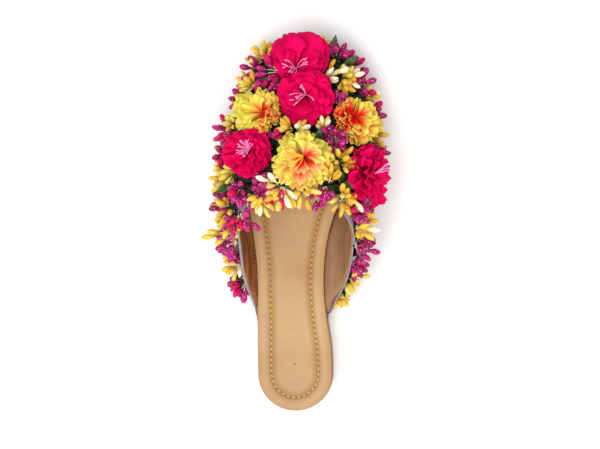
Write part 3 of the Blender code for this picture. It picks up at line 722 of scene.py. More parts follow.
def round_ended(steps):
    """Places from 0 to 1 that crowd towards both ends, and the half-circle radius at each."""
    turn = np.linspace(0, math.pi, steps)
    return (1 - np.cos(turn)) / 2, np.sin(turn)


def beads(at, way, half, radius, upright, steps, flatten=1.0):
    """Round beads about their middles: half is their half length along the way, and steps their mesh."""
    t, swell = round_ended(steps[0])
    paths = at[:, None] + way[..., None, :] * ((2 * t - 1) * half)[:, None]
    radii = np.broadcast_to(radius * swell, paths.shape[:2])
    return tubes(paths, radii, upright, steps[1], flatten)


# Shader nodes


def srgb(red, green, blue):
    """A colour in 0 to 255 as a shader's linear colour, by the standard curve: a line, then a power."""
    share = np.array([red, green, blue]) / 255
    linear = np.where(share <= 0.04045, share / 12.92, ((share + 0.055) / 1.055) ** 2.4)
    return (*linear.tolist(), 1.0)


def plug(look, socket, value):
    """Sets a socket, or links another node's socket to it."""
    if isinstance(value, bpy.types.NodeSocket):
        look.node_tree.links.new(value, socket)
    else:
        socket.default_value = value


def node(look, kind, **values):
    """A new shader node with its sockets set or linked."""
    made = look.node_tree.nodes.new(kind)
    for socket, value in values.items():
        plug(look, made.inputs[socket.replace("_", " ")], value)
    return made


def new_look(name, **values):
    """A material whose one shader has the given sockets."""
    look = bpy.data.materials.new(name)
    look.use_nodes = True
    shader = look.node_tree.nodes["Principled BSDF"]
    for socket, value in values.items():
        shader.inputs[socket.replace("_", " ")].default_value = value
    return look, shader


def place(look):
    """The place on the piece, in its own coordinates."""
    return node(look, "ShaderNodeTexCoord").outputs["Object"]


def mark(look, name):
    """A value per point that the piece carries."""
    made = node(look, "ShaderNodeAttribute")
    made.attribute_name = name
    return made.outputs["Fac"]


def noise(look, at, scale, detail=2.0):
    """Soft random clouds between 0 and 1."""
    return node(look, "ShaderNodeTexNoise", Vector=at, Scale=scale, Detail=detail).outputs["Fac"]


def cells(look, at, scale):
    """Distance to the nearest of many scattered points."""
    return node(look, "ShaderNodeTexVoronoi", Vector=at, Scale=scale).outputs["Distance"]


def stretched(look, at, scale):
    """A place multiplied by a scale for each axis."""
    return node(look, "ShaderNodeMapping", Vector=at, Scale=scale).outputs["Vector"]


def sums(look, operation, first, second):
    """Two values added, subtracted or multiplied."""
    made = look.node_tree.nodes.new("ShaderNodeMath")
    made.operation = operation
    plug(look, made.inputs[0], first)
    plug(look, made.inputs[1], second)
    return made.outputs[0]


def shades(look, value, *stops):
    """Colours along a value, from stops of place and colour."""
    made = node(look, "ShaderNodeValToRGB", Fac=value)
    elements = made.color_ramp.elements
    elements[0].position, elements[1].position = stops[0][0], stops[-1][0]
    for at, _ in stops[1:-1]:
        elements.new(at)
    for element, (_, colour) in zip(elements, stops):
        element.color = colour
    return made.outputs["Color"]


def mixed(look, value, first, second, blend="MIX"):
    """The second colour laid over the first by the value."""
    made = look.node_tree.nodes.new("ShaderNodeMix")
    made.data_type = "RGBA"
    made.blend_type = blend
    plug(look, made.inputs[0], value)
    plug(look, made.inputs[MIX_FIRST], first)
    plug(look, made.inputs[MIX_SECOND], second)
    return made.outputs[MIX_RESULT]


def raise_relief(look, shader, height, depth, strength=1.0):
    """Bump of the given depth in millimetres from a height between 0 and 1."""
    bump = node(look, "ShaderNodeBump", Height=height, Distance=depth * MM, Strength=strength)
    plug(look, shader.inputs["Normal"], bump.outputs["Normal"])


def paint(look, shader, colour):
    """Gives the shader its colour."""
    plug(look, shader.inputs["Base Color"], colour)


def grey(value):
    """A grey in linear light."""
    return (value, value, value, 1.0)


BLACK, WHITE = grey(0.0), grey(1.0)


# Finishes


def tan_leather():
    """Insole leather: warm tan mottled over centimetres, with painted light towards the toe, and a fine
    grain.

    It is painted darker at the rim, as the shade of its rounded edge, with a light greener tint on the
    border, and painted darker in the groove and the hollow along the stitches, as their shade.
    """
    look, shader = new_look("tan_leather", Roughness=0.5, Specular_IOR_Level=0.3)
    at = place(look)
    mottle = noise(look, at, scale=30.0, detail=3.0)
    tan = shades(look, mottle, (0.3, srgb(195, 152, 108)), (0.7, srgb(213, 173, 128)))
    # painted light: the tan grows paler towards the toe, to make up for the shade under the vamp
    forward = node(look, "ShaderNodeSeparateXYZ", Vector=at).outputs["Y"]
    ahead = sums(look, "MULTIPLY", sums(look, "ADD", forward, HEEL_RADIUS * MM), 1 / (SOLE_LENGTH * MM))
    painted_toe_light = shades(look, ahead, (0.0, grey(0.69)), (0.3, grey(0.78)), (0.45, grey(0.85)), (0.53, WHITE))
    tan = mixed(look, 1.0, tan, painted_toe_light, "MULTIPLY")
    # painted shade: darker where the relief is low, in the stitch groove and its hollow
    groove_shade = shades(look, mark(look, "relief"), (0.0, srgb(230, 216, 186)), (0.5, WHITE))
    # painted shade at the rounded edge and in a band over the hollow round the stitches; the border between
    # keeps a light greener tint
    edge_shade, hollow_shade = srgb(196, 178, 140), srgb(243, 240, 219)
    rim = shades(look, mark(look, "inset"), (0.0, edge_shade), (0.05, srgb(247, 242, 224)), (0.35, WHITE),
                 (0.6, hollow_shade), (0.8, hollow_shade), (1.0, WHITE))
    tan = mixed(look, 1.0, mixed(look, 1.0, tan, groove_shade, "MULTIPLY"), rim, "MULTIPLY")
    paint(look, shader, tan)
    grain = sums(look, "MULTIPLY", cells(look, at, scale=1100.0), noise(look, at, scale=400.0, detail=4.0))
    raise_relief(look, shader, grain, depth=0.12)
    dullness = shades(look, noise(look, at, scale=60.0, detail=4.0), (0.3, grey(0.42)), (0.7, grey(0.58)))
    plug(look, shader.inputs["Roughness"], dullness)
    return look


def brown_leather():
    """Lining leather: taupe on the inner side and a darker orange brown on the outer, as painted shade with
    warm bounce light, streaked, with an open grain.
    """
    look, shader = new_look("brown_leather", Roughness=0.55, Specular_IOR_Level=0.3)
    at = place(look)
    streaks = noise(look, stretched(look, at, (1.0, 0.12, 1.0)), scale=220.0, detail=3.0)
    # painted light and shade: the lit inner side and the shaded outer side of one leather, chosen by the mark
    # lateral
    lit_taupe = shades(look, streaks, (0.3, srgb(136, 97, 66)), (0.7, srgb(154, 115, 82)))
    shaded_orange_brown = shades(look, streaks, (0.35, srgb(108, 55, 18)), (0.65, srgb(160, 99, 46)))
    paint(look, shader, mixed(look, mark(look, "lateral"), lit_taupe, shaded_orange_brown))
    grain = sums(look, "MULTIPLY", cells(look, at, scale=800.0), noise(look, at, scale=300.0, detail=4.0))
    raise_relief(look, shader, grain, depth=0.25)
    return look


def sole_leather():
    """Stacked sole leather: thin level layers, burnished brown."""
    look, shader = new_look("sole_leather", Roughness=0.45, Specular_IOR_Level=0.4)
    at = place(look)
    layers = noise(look, stretched(look, at, (0.04, 0.04, 1.0)), scale=900.0, detail=3.0)
    paint(look, shader, shades(look, layers, (0.3, srgb(120, 82, 50)), (0.7, srgb(158, 114, 74))))
    raise_relief(look, shader, layers, depth=0.1)
    return look


def woven_cloth(name, colour, thread, ground=None):
    """Plain weave: two crossed sets of ridges a thread apart, over a soft mottle.

    Away from the topline its colour may turn to a dark green ground, which stands in for leaf cloth and
    painted shade in the gaps under the sprays.
    """
    look, shader = new_look(name, Roughness=0.8, Specular_IOR_Level=0.25)
    at = place(look)
    dark = tuple(CLOTH_SHADE * share for share in colour[:3]) + (1.0,)
    cloth = shades(look, noise(look, at, scale=140.0, detail=3.0), (0.3, dark), (0.7, colour))
    # partly painted shade: the dark ground takes over the cloth under the sprays
    if ground:
        gap_shade_share = shades(look, mark(look, "from_topline"), (0.6, BLACK), (0.9, WHITE))
        cloth = mixed(look, gap_shade_share, cloth, ground)
    paint(look, shader, cloth)
    ridges = []
    for direction in ("Y", "Z"):
        wave = node(look, "ShaderNodeTexWave", Vector=at, Scale=WAVE_LENGTH / (thread * MM))
        wave.bands_direction = direction
        ridges.append(wave.outputs["Fac"])
    raise_relief(look, shader, sums(look, "MULTIPLY", *ridges), depth=0.15)
    return look


def petal_cloth(name, stops, tone_dark, crease_shade, wander):
    """Petal satin: colours run from base to rim, each petal has its own tone, and creases follow it, raised
    as bumps and painted darker as their shade.
    """
    look, shader = new_look(name, Roughness=0.7, Specular_IOR_Level=0.06)
    side_pales, cloud_depth, flush_stop = 0.4, 0.5, 0.3
    along, across, tone = mark(look, "along"), mark(look, "across"), mark(look, "tone")
    veins_at = node(look, "ShaderNodeCombineXYZ", X=across, Y=along, Z=tone).outputs["Vector"]
    veins = noise(look, stretched(look, veins_at, (5.0, 0.7, 40.0)), scale=1.0, detail=4.0)
    clouds = noise(look, stretched(look, veins_at, (1.6, 1.2, 40.0)), scale=1.0, detail=2.0)
    aside = sums(look, "MULTIPLY", sums(look, "MULTIPLY", across, across), side_pales)
    above_flush = sums(look, "SUBTRACT", sums(look, "ADD", along, aside), mark(look, "flush"))
    veined = sums(look, "MULTIPLY", sums(look, "SUBTRACT", veins, 0.5), wander)
    clouded = sums(look, "MULTIPLY", sums(look, "SUBTRACT", clouds, 0.5), cloud_depth)
    spread = sums(look, "ADD", sums(look, "ADD", above_flush, veined), clouded)
    stops = [(at, srgb(*colour)) for at, colour in stops]
    colour = shades(look, sums(look, "ADD", spread, flush_stop), *stops)
    # painted shade: the creases are darkened by the crease tint
    creased = shades(look, veins, (0.34, (*crease_shade, 1.0)), (0.5, WHITE))
    toned = shades(look, tone, (0.0, (*tone_dark, 1.0)), (0.6, WHITE))
    colour = mixed(look, 1.0, colour, creased, "MULTIPLY")
    paint(look, shader, mixed(look, 1.0, colour, toned, "MULTIPLY"))
    raise_relief(look, shader, veins, depth=0.4)
    return look


def sugared_bud():
    """Magenta bud: deep magenta with pale raised sugar dots, or plain crimson where it is the odd one."""
    look, shader = new_look("sugared_magenta_bud", Roughness=0.5, Specular_IOR_Level=0.25)
    at = place(look)
    dots = shades(look, cells(look, at, scale=740.0), (0.19, WHITE), (0.38, BLACK))
    skin = shades(look, mark(look, "tone"), (0.0, srgb(132, 0, 62)), (1.0, srgb(180, 2, 106)))
    sugared = mixed(look, dots, skin, srgb(240, 140, 196))
    crimson = shades(look, mark(look, "along"), (0.0, srgb(172, 0, 54)), (1.0, srgb(216, 0, 86)))
    paint(look, shader, mixed(look, mark(look, "odd"), sugared, crimson))
    raise_relief(look, shader, dots, depth=0.25)
    return look


def dusted_bud():
    """Yellow bud: golden to lime by its tone, dusted with fine specks, or cream where it is the odd one."""
    look, shader = new_look("dusted_yellow_bud", Roughness=0.6, Specular_IOR_Level=0.3)
    at = place(look)
    skin = shades(look, mark(look, "tone"),
                  (0.0, srgb(222, 160, 34)), (0.5, srgb(232, 196, 72)), (1.0, srgb(220, 208, 106)))
    root = shades(look, mark(look, "along"), (0.1, srgb(206, 176, 90)), (0.5, WHITE))
    specks = shades(look, cells(look, at, scale=720.0), (0.15, WHITE), (0.30, BLACK))
    dusted = mixed(look, specks, mixed(look, 1.0, skin, root, "MULTIPLY"), srgb(146, 98, 18))
    cream = shades(look, mark(look, "along"), (0.1, srgb(222, 190, 96)), (0.6, srgb(250, 232, 198)))
    paint(look, shader, mixed(look, mark(look, "odd"), dusted, cream))
    raise_relief(look, shader, specks, depth=0.12)
    return look


def mottled(name, first, second, scale, roughness, depth):
    """Two close colours mottled at one scale, with a bump from the same mottle."""
    look, shader = new_look(name, Roughness=roughness, Specular_IOR_Level=0.3)
    patches = noise(look, place(look), scale, detail=3.0)
    paint(look, shader, shades(look, patches, (0.35, srgb(*first)), (0.65, srgb(*second))))
    raise_relief(look, shader, patches, depth)
    return look


def make_looks():
    """All finishes by the name that the pieces use."""
    return {
        "tan_leather": tan_leather(),
        "brown_leather": brown_leather(),
        "sole_leather": sole_leather(),
        # the cover's dark green ground is partly leaf green and partly painted shade of the gaps
        "cover_cloth": woven_cloth(
            "lavender_cover_cloth", srgb(172, 160, 168), thread=0.7, ground=srgb(30, 34, 22)),
        "binding": woven_cloth("grey_binding", srgb(158, 148, 152), thread=0.6),
        **{name: petal_cloth(*row) for name, row in PETAL_LOOKS.items()},
        "magenta_bud": sugared_bud(),
        "yellow_bud": dusted_bud(),
        **{name: mottled(*row) for name, row in MOTTLED_LOOKS.items()},
    }


# Sole and insole


def plan_of(grow, back, tip, also_at=()):
    """A slab's plan: its closed outline from the toe tip round the heel, inward normals, and middle seam.

    Places along the foot crowd towards heel and toe as a cosine, and both edges share them, so that the
    rings of a slab meet along the seam.
    """
    y = (tip + back) / 2 + (tip - back) / 2 * np.cos(np.linspace(0, math.pi, PLAN_STEPS))
    y = -np.sort(-np.append(y, also_at))
    lateral = np.stack([edge(LATERAL, y, grow(y)), y], axis=-1)
    medial = np.stack([edge(MEDIAL, y, grow(y)), y], axis=-1)
    line = np.concatenate([lateral, medial[-2:0:-1]])
    ahead = unit(np.roll(line, -1, axis=0) - np.roll(line, 1, axis=0))
    inward = np.stack([-ahead[:, 1], ahead[:, 0]], axis=-1)
    seam_y = np.clip(line[:, 1], back + SPINE_STOPS_SHORT, tip - SPINE_STOPS_SHORT)
    seam_x = (edge(LATERAL, seam_y, 0.0) + edge(MEDIAL, seam_y, 0.0)) / 2
    return line, inward, np.stack([seam_x, seam_y], axis=-1)


def rings_of(plan, inset, toward):
    """Rings inside a plan: each moved inwards by its inset, then a share of the way to the middle seam."""
    line, inward, seam = plan
    moved = line + inward * np.asarray(inset)[:, None, None]
    return moved + (seam - moved) * np.asarray(toward)[:, None, None]


def slab(name, solid, rings, height, look, slot, **marks):
    """A closed slab from rings and their heights, in place of one solid."""
    points = np.concatenate([rings, height[..., None]], axis=-1)
    return add_piece(name, points, grid_faces(*height.shape, wrap=True), look, slot, (solid,), **marks)


def make_outsole(looks):
    """Rings from the seam of the tread out to its rounded edge, up the side, and in to the seam on top."""
    turn = np.linspace(0, math.pi / 2, SOLE_EDGE_STEPS)
    from_seam = [1.0, 0.5, 0.0]
    corner = SOLE_EDGE_ROUND * (1 - np.sin(turn))
    inset = np.concatenate([[PAD_DEEPEST] * len(from_seam), [SOLE_FACE_INSET], corner])
    toward = np.concatenate([from_seam, np.zeros(1 + len(turn))])
    bend = np.concatenate([np.zeros(len(from_seam) + 1), SOLE_EDGE_ROUND * (1 - np.cos(turn))])[:, None]
    plan = plan_of(welt, -HEEL_RADIUS - WELT_AT_HEEL, TOE_TIP_Y, HEEL_BREAST)
    rings = rings_of(plan, np.append(inset, inset[::-1]), np.append(toward, toward[::-1]))
    below, above = np.split(rings[..., 1], 2)
    height = np.concatenate([sole_tread(below) + bend, sole_top(above) - bend[::-1]])
    return slab("outsole_leather", "outsole", rings, height, looks["sole_leather"], "sole_tan")


def pad_relief(inset):
    """Height of the pad's top over the board: the rolled border's swell less the hollow and its groove."""
    crest_at, crest_width, crest = BORDER_CREST
    groove_at, groove_width, groove = STITCH_GROOVE
    hollow_width, hollow = STITCH_HOLLOW
    swell = crest * np.exp(-(((inset - crest_at) / crest_width) ** 2))
    swell = swell - hollow * np.exp(-(((inset - groove_at) / hollow_width) ** 2))
    return swell - groove * np.exp(-(((inset - groove_at) / groove_width) ** 2))


def insole_plan():
    """The insole's plan, drawn in under the toe by a smooth step."""

    def grow(y):
        return -INSOLE_TOE_INSET * ramp(y, *INSOLE_DRAWS_IN)

    return plan_of(grow, -HEEL_RADIUS, TOE_TIP_Y - WELT_AT_VAMP - INSOLE_TOE_INSET)


def insole_height(y, inset):
    """Height of the pad's top: the sole, a gap, the board and the relief."""
    return sole_top(y) + GAP + INSOLE_THICKNESS + pad_relief(inset)


def make_insole(looks):
    """The pad: a flat underside, a half-round edge, the rolled border, the stitch groove and the field."""
    turn = np.linspace(-math.pi / 2, math.pi / 2, PAD_RINGS["edge"])
    groove_at = STITCH_GROOVE[0]
    to_border, own, to_field = GROOVE_SPANS
    over = np.concatenate([
        np.linspace(PAD_EDGE, groove_at - to_border, PAD_RINGS["border"])[1:],
        groove_at + np.linspace(-own, own, PAD_RINGS["groove"]),
        np.linspace(groove_at + to_field, PAD_DEEPEST, PAD_RINGS["field"]),
    ])
    toward_top = np.linspace(0, 1, PAD_RINGS["middle"])[1:]
    inset = np.concatenate([
        [PAD_DEEPEST] * 2, PAD_EDGE * (1 - np.cos(turn)), over, [PAD_DEEPEST] * len(toward_top)])
    toward = np.concatenate([[1.0, 0.0], np.zeros(len(turn) + len(over)), toward_top])
    share_up = np.concatenate([[0.0, 0.0], (1 + np.sin(turn)) / 2, np.ones(len(over) + len(toward_top))])
    rings = rings_of(insole_plan(), inset, toward)
    y = rings[..., 1]
    bottom = sole_top(y) + GAP
    height = bottom + (insole_height(y, np.maximum(inset, PAD_EDGE)[:, None]) - bottom) * share_up[:, None]
    # the marks relief and inset let the leather paint shade in the groove, the hollow and at the rounded edge
    relief = np.clip(0.5 + pad_relief(inset), 0.0, 1.0)[:, None] * np.ones_like(height)
    from_rim = np.clip(inset / PAD_DEEPEST, 0.0, 1.0)[:, None] * np.ones_like(height)
    pad = slab("insole_pad", "insole", rings, height, looks["tan_leather"], "insole_tan",
               relief=relief, inset=from_rim)
    return pad


def stitch_places(line, pitch):
    """Even places along a line of points, with the direction of the line at each."""
    gone = np.concatenate([[0.0], np.cumsum(np.linalg.norm(np.diff(line, axis=0), axis=1))])
    even = np.arange(pitch / 2, gone[-1], pitch)
    at, ahead, behind = (
        np.stack([np.interp(even + step, gone, line[:, k]) for k in range(3)], axis=-1)
        for step in (0.0, SEAM_STEP, -SEAM_STEP))
    return at, unit(ahead - behind)


def thread_stitches(at, ahead, normal, length, radius):
    """Short round-ended threads that lie along a seam and dip into it at both ends."""
    across = np.cross(normal, ahead)
    t, swell = round_ended(STITCH_STEPS[0])
    reach = ((t - 0.5) * length)[None, :, None]
    arch = (radius * (swell - STITCH_SINKS))[None, :, None]
    paths = at[:, None] + ahead[:, None] * reach + across[:, None] * reach * STITCH_SLANT
    paths = paths + normal[:, None] * arch
    radii = np.broadcast_to(radius * np.sqrt(swell), paths.shape[:2])
    return tubes(paths, radii, normal[:, None], STITCH_STEPS[1])


def make_insole_stitches(looks):
    """Stitches, and dark beads painted as the shade of awl holes, by turns in the groove, from under the vamp
    round the heel and back.
    """
    plan = rings_of(insole_plan(), [STITCH_GROOVE[0]], [0.0])[0]
    plan = plan[plan[:, 1] < STITCHES_END_Y]
    line = np.column_stack([plan, insole_height(plan[:, 1], STITCH_GROOVE[0])])
    at, ahead = stitch_places(line, STITCH_PITCH)
    normal = unit(UP - ahead * (ahead @ UP)[:, None])
    points, faces = thread_stitches(at, ahead, normal, STITCH_LENGTH, STITCH_RADIUS)
    add_piece("insole_stitches", points, faces, looks["thread"], "insole_tan")
    length, width, height = HOLE_SIZE
    # painted shade: each hole is a flat dark bead between two stitches
    between = at + ahead * STITCH_PITCH / 2
    holes = beads(between, ahead, length, width, normal[:, None], HOLE_STEPS, height / width)
    add_piece("insole_awl_holes", *holes, looks["hole"], "insole_tan")


def make_pin(looks):
    """The head of the pin that holds the insole at the heel, a flattened bead."""
    middle_of_head = np.array([[*PIN_AT, insole_height(PIN_AT[1], PAD_DEEPEST)]])
    head = beads(middle_of_head, INWARDS, PIN_RADIUS, PIN_RADIUS, UP, PIN_STEPS, PIN_FLATNESS)
    add_piece("insole_pin", *head, looks["pin"], "insole_tan")


# Upper


def upper_columns():
    """Side and share of the way up for each column of the upper, lateral sole edge to medial sole edge."""
    up = np.linspace(0.0, 1.0, UPPER_COLUMNS_PER_SIDE)
    share = np.concatenate([up, up[-2::-1]])
    side = np.where(np.arange(len(share)) < UPPER_COLUMNS_PER_SIDE, LATERAL, MEDIAL)
    return side, share


def upper_sheet(inset):
    """A grid of points over the vamp, toe tip to opening by rows. Inset may be a function of the place."""
    side, share = upper_columns()
    tip = TOE_TIP_Y - WALL_FROM_SOLE_EDGE
    along = 1 - np.cos(np.linspace(0, math.pi / 2, UPPER_ROWS))[:, None]
    opening = of_side(side, TOPLINE, share)
    deep = inset(side, share, along) if callable(inset) else inset
    y = tip - deep + (opening - (tip - deep)) * along
    x, z = upper_point(side, y, np.broadcast_to(share, y.shape), deep)
    return np.stack([x, y, z], axis=-1)


def shell(name, outer, inner, look, slot, stands_for=()):
    """Outer and inner sheets closed along the sole edges by wrapping, and along the opening by a rim.

    The mark lateral is 1 on the outer side of the foot, where the lining paints its shade, and from_topline
    grows from 0 at the opening to 1.
    """
    loop = np.concatenate([outer, inner[:, ::-1]], axis=1)
    rows, columns = loop.shape[:2]
    half = columns // 2
    c = np.arange(half - 1)
    last = (rows - 1) * columns
    rim = np.stack([last + c, last + c + 1, last + columns - 2 - c, last + columns - 1 - c], axis=-1)
    faces = np.concatenate([grid_faces(rows, columns, wrap=True), rim])
    side, share = (np.concatenate([line, line[::-1]]) for line in upper_columns())
    lateral = np.broadcast_to(side == LATERAL, loop.shape[:2])
    from_topline = np.clip((loop[..., 1] - of_side(side, TOPLINE, share)) / EDGE_BAND, 0.0, 1.0)
    return add_piece(name, loop, faces, look, slot, stands_for, lateral=lateral, from_topline=from_topline)


def lining_depth(side, share, along):
    """Depth of the lining's face in the wall: the wall, its folds, and the wall's own lean at the foot.

    The last term undoes the lean there, so that the lining stands against the insole's edge.
    """
    tip = TOE_TIP_Y - WALL_FROM_SOLE_EDGE
    y = tip + (of_side(side, TOPLINE, share) - tip) * along
    lean = of_side(side, UPPER_SECTIONS, y) * np.sin(np.clip(share / WALL_SHARE, 0, 1) * math.pi / 2)
    back = ramp(along, *LINING_SETS_IN)
    depth = WALL + (lean + LINING_HUGS) * (1 - ramp(share, *LINING_FILLS)) * back
    for fold_side, at_back, at_throat, width, height in LINING_FOLDS:
        ridge = at_throat + (at_back - at_throat) * ramp(along, *FOLDS_SLANT)
        fold = height * np.exp(-(((share - ridge) / width) ** 2))
        depth = depth + np.where(side == fold_side, fold * back, 0.0)
    return depth


def make_upper(looks):
    """The vamp's lining leather and cover cloth, each a thin closed shell that takes half the wall."""
    between = WALL * LINING_SHARE
    shell("upper_lining", upper_sheet(between), upper_sheet(lining_depth), looks["brown_leather"],
          "upper_lining", ("upper",))
    cover = upper_sheet(0.0)
    made = shell("upper_cover", cover, upper_sheet(between - COVER_GAP), looks["cover_cloth"], "upper_lining")
    return made


def topline(inset):
    """The edge of the opening from the lateral sole edge over the throat to the medial, and its normals."""
    side, share = upper_columns()
    y = of_side(side, TOPLINE, share)
    x, z = upper_point(side, y, share, inset)
    normal = on_upper(side, y, share, 0.0)[1]
    return np.stack([x, y, z], axis=-1), normal


def make_binding(looks):
    """The folded edge of the opening: an oval roll along the topline, closed at both sole edges.

    Its depth in the wall and its width run smoothly from the lateral side's to the medial side's.
    """
    medial = ramp(np.linspace(0, 1, 2 * UPPER_COLUMNS_PER_SIDE - 1), *BINDING_TURNS)
    depth, half = (a + (b - a) * medial for a, b in zip(BINDING_LATERAL, BINDING_MEDIAL))
    line, normal = topline(depth)
    radii = np.full(len(line), BINDING_HEIGHT)
    radii[[0, -1]] = 0.0
    flatten = (half / BINDING_HEIGHT)[None, :, None]
    points, faces = tubes(line[None], radii[None], normal[None], BINDING_AROUND, flatten)
    add_piece("topline_binding", points, faces, looks["binding"], "upper_lining")


def make_lining_seams(looks):
    """A row of small stitches on each lining just over the insole's edge."""
    seams = []
    y = np.linspace(*LINING_SEAM_Y, LINING_SEAM_STEPS)
    tip = TOE_TIP_Y - WALL_FROM_SOLE_EDGE
    for side in (LATERAL, MEDIAL):
        share = np.full_like(y, LINING_SEAM_SHARE)
        along = (y - tip) / (of_side(side, TOPLINE, share) - tip)
        x, z = upper_point(side, y, share, lining_depth(side, share, along))
        at, ahead = stitch_places(np.stack([x, y, z], axis=-1), LINING_SEAM_PITCH)
        inward = np.broadcast_to(unit(np.array([-side, 0.0, LINING_STITCH_RISE])), at.shape)
        seams.append(thread_stitches(at, ahead, inward, *LINING_STITCH))
    add_piece("lining_stitches", *joined(seams), looks["brown_thread"], "upper_lining")


# Flowers


def flower_seat(flower):
    """Root and axis of a flower, as its solid has them: the axis leans from upright to the wall's normal."""
    root, normal = on_upper(flower.side, flower.y, flower.share, GAP)
    axis = unit(normal * flower.lean + UP * (1 - flower.lean))
    tilted_rim = FLOWER_FOOT * flower.radius * np.linalg.norm(np.cross(axis, normal))
    return root + normal * tilted_rim, axis


def petal_rim(kind, across, phase):
    """How far a petal's rim stands out: rounded at both sides, less its lobes and its saw teeth."""
    lobes, lobe_depth, teeth, tooth_depth = PETAL_EDGE[kind]
    fall, power = PETAL_CORNERS
    lobe = np.abs(np.cos(lobes * math.pi / 2 * across + 2 * phase)) ** LOBE_ROUNDNESS
    tooth = np.abs((teeth * across + phase) % 2 - 1)
    return 1 - fall * np.abs(across) ** power - lobe_depth * (1 - lobe) - tooth_depth * tooth


def petal_relief(kind, ruffle, u, v, phase, bends):
    """Height of a petal's folds: a ruffle and a fine frill that grow to the rim, cup, pleats and crumples.

    The crumples are the product of two sines, whose slants and phases are the petal's own bends.
    """
    waves, cup, pleats, pleat_depth = PETAL_FOLDS[kind]
    frills, frill, crumple = PETAL_FRILL[kind]
    (wide, slant, shift), (high, lean, slip) = CRUMPLES
    up = ruffle * v**2 * np.sin(waves * math.pi * u + FOLD_SHIFTS[0] * phase)
    up = up + frill * v**4 * np.sin(frills * math.pi * u + FOLD_SHIFTS[1] * bends[0])
    up = up + cup * v * (u**2 - CUP_LEVEL) + pleat_depth * v * np.cos(pleats * math.pi * u + phase)
    across = np.sin(wide * u + slant * bends[1] * v + shift * bends[2])
    along = np.sin(high * v + lean * bends[3] * u + slip * bends[4])
    return up + crumple * v * across * along


def room_at(flower, walls, eye, angle, up):
    """How far a petal can reach from the eye at each angle before it meets a plane between two flowers."""
    room = np.full(angle.shape, 2 * flower.radius)
    for way, limit in walls:
        towards = np.cos(angle) * way[0] + np.sin(angle) * way[1]
        left = limit - eye @ way[:2] - (up - flower.height * FLOWER_WIDEST) * way[2]
        meets = np.maximum(left, SHORTEST_PETAL) / np.maximum(towards, PETAL_FACES)
        room = np.minimum(room, np.where(towards > PETAL_FACES, meets, room))
    return room


def petal_whorl(flower, whorl, walls, dice):
    """One ring of petals round the eye, as points and the marks along, across, tone and flush.

    A petal is a fan about the eye that opens from a narrow base. Its length at each angle is the way from
    the eye to the flower's round, or to the plane between it and the next flower. Its height climbs as a
    part of a sine, with a twist that tucks one side under the next petal, and its folds.
    """
    v = np.linspace(PETAL_BASE, 1, PETAL_STEPS[0])[None, :, None]
    u = np.linspace(-1, 1, PETAL_STEPS[1])[None, None, :]
    count, share, arch = whorl.petals, whorl.reach, whorl.arch
    jitter, phase, lift, tone, sway, width, *bends = dice.uniform(-1, 1, (PETAL_DRAWS, count, 1, 1))
    longer, higher, bent, wider = PETAL_DISORDER[flower.kind]
    narrow, opens = PETAL_FAN
    turn = (np.arange(count)[:, None, None] + dice.uniform() + PETAL_STRAYS * jitter) * 2 * math.pi / count
    eye = np.array([flower.eye_x, flower.eye_y]) * min(1.0, 1 + EYE_FOLLOWS - EYE_FOLLOWS * share)
    half_angle = math.radians(whorl.half_angle) * (1 + wider * width)
    angle = turn + half_angle * u * (narrow + (1 - narrow) * v**opens) + bent * sway * v**2
    outwards = np.cos(angle) * eye[0] + np.sin(angle) * eye[1]
    reach = share * (np.sqrt(flower.radius**2 - eye @ eye + outwards**2) - outwards) * (1 + longer * lift)
    room = room_at(flower, walls, eye, angle, flower.height * whorl.rim)
    reach = (reach**-PETAL_GIVES_WAY + room**-PETAL_GIVES_WAY) ** (-1 / PETAL_GIVES_WAY)
    out = reach * v * (1 + (petal_rim(flower.kind, u, phase) - 1) * v**2)
    climb = np.sin(v * math.pi / 2 * arch) / math.sin(math.pi / 2 * min(arch, 1.0))
    up = flower.height * (whorl.base + (whorl.rim - whorl.base) * climb) + higher * lift * v
    folds = PETAL_TWIST * (1 + jitter) * u * v + petal_relief(flower.kind, whorl.ruffle, u, v, phase, bends)
    up = up + folds * np.minimum(1.0, reach / (FULL_FOLDS_FROM * flower.radius))
    local = np.stack(np.broadcast_arrays(
        eye[0] + out * np.cos(angle), eye[1] + out * np.sin(angle), up), axis=-1)
    low, more, heading, inner = PETAL_FLUSH.get(flower.name, PLAIN_FLUSH)
    flush = low + more * np.cos(turn - math.radians(heading)) + FLUSH_VARIES * lift
    flush = flush + inner * max(0.0, 1 - share)
    marks = [np.broadcast_to(value, local.shape[:3]) for value in (v, u, tone / 2 + 0.5, flush)]
    return local, marks


def walls_of(index, seats):
    """Planes between a flower and each neighbour, as the way there and how far off: shared by their radii."""
    heart, radius = seats[index]
    walls = []
    for other, other_radius in seats[:index] + seats[index + 1:]:
        apart = np.linalg.norm(other - heart)
        walls.append(((other - heart) / apart, apart * radius / (radius + other_radius) + PETALS_MINGLE))
    return walls


def press_together(points, heart, walls):
    """Bends a flower's points away from its neighbours, so that none passes the plane between them."""
    for way, limit in walls:
        start = limit - PRESS_SOFTNESS
        past = (points - heart) @ way - start
        give = past - PRESS_SOFTNESS * np.tanh(past / PRESS_SOFTNESS)
        points = points - np.where(past > 0, give, 0.0)[..., None] * way
    return points


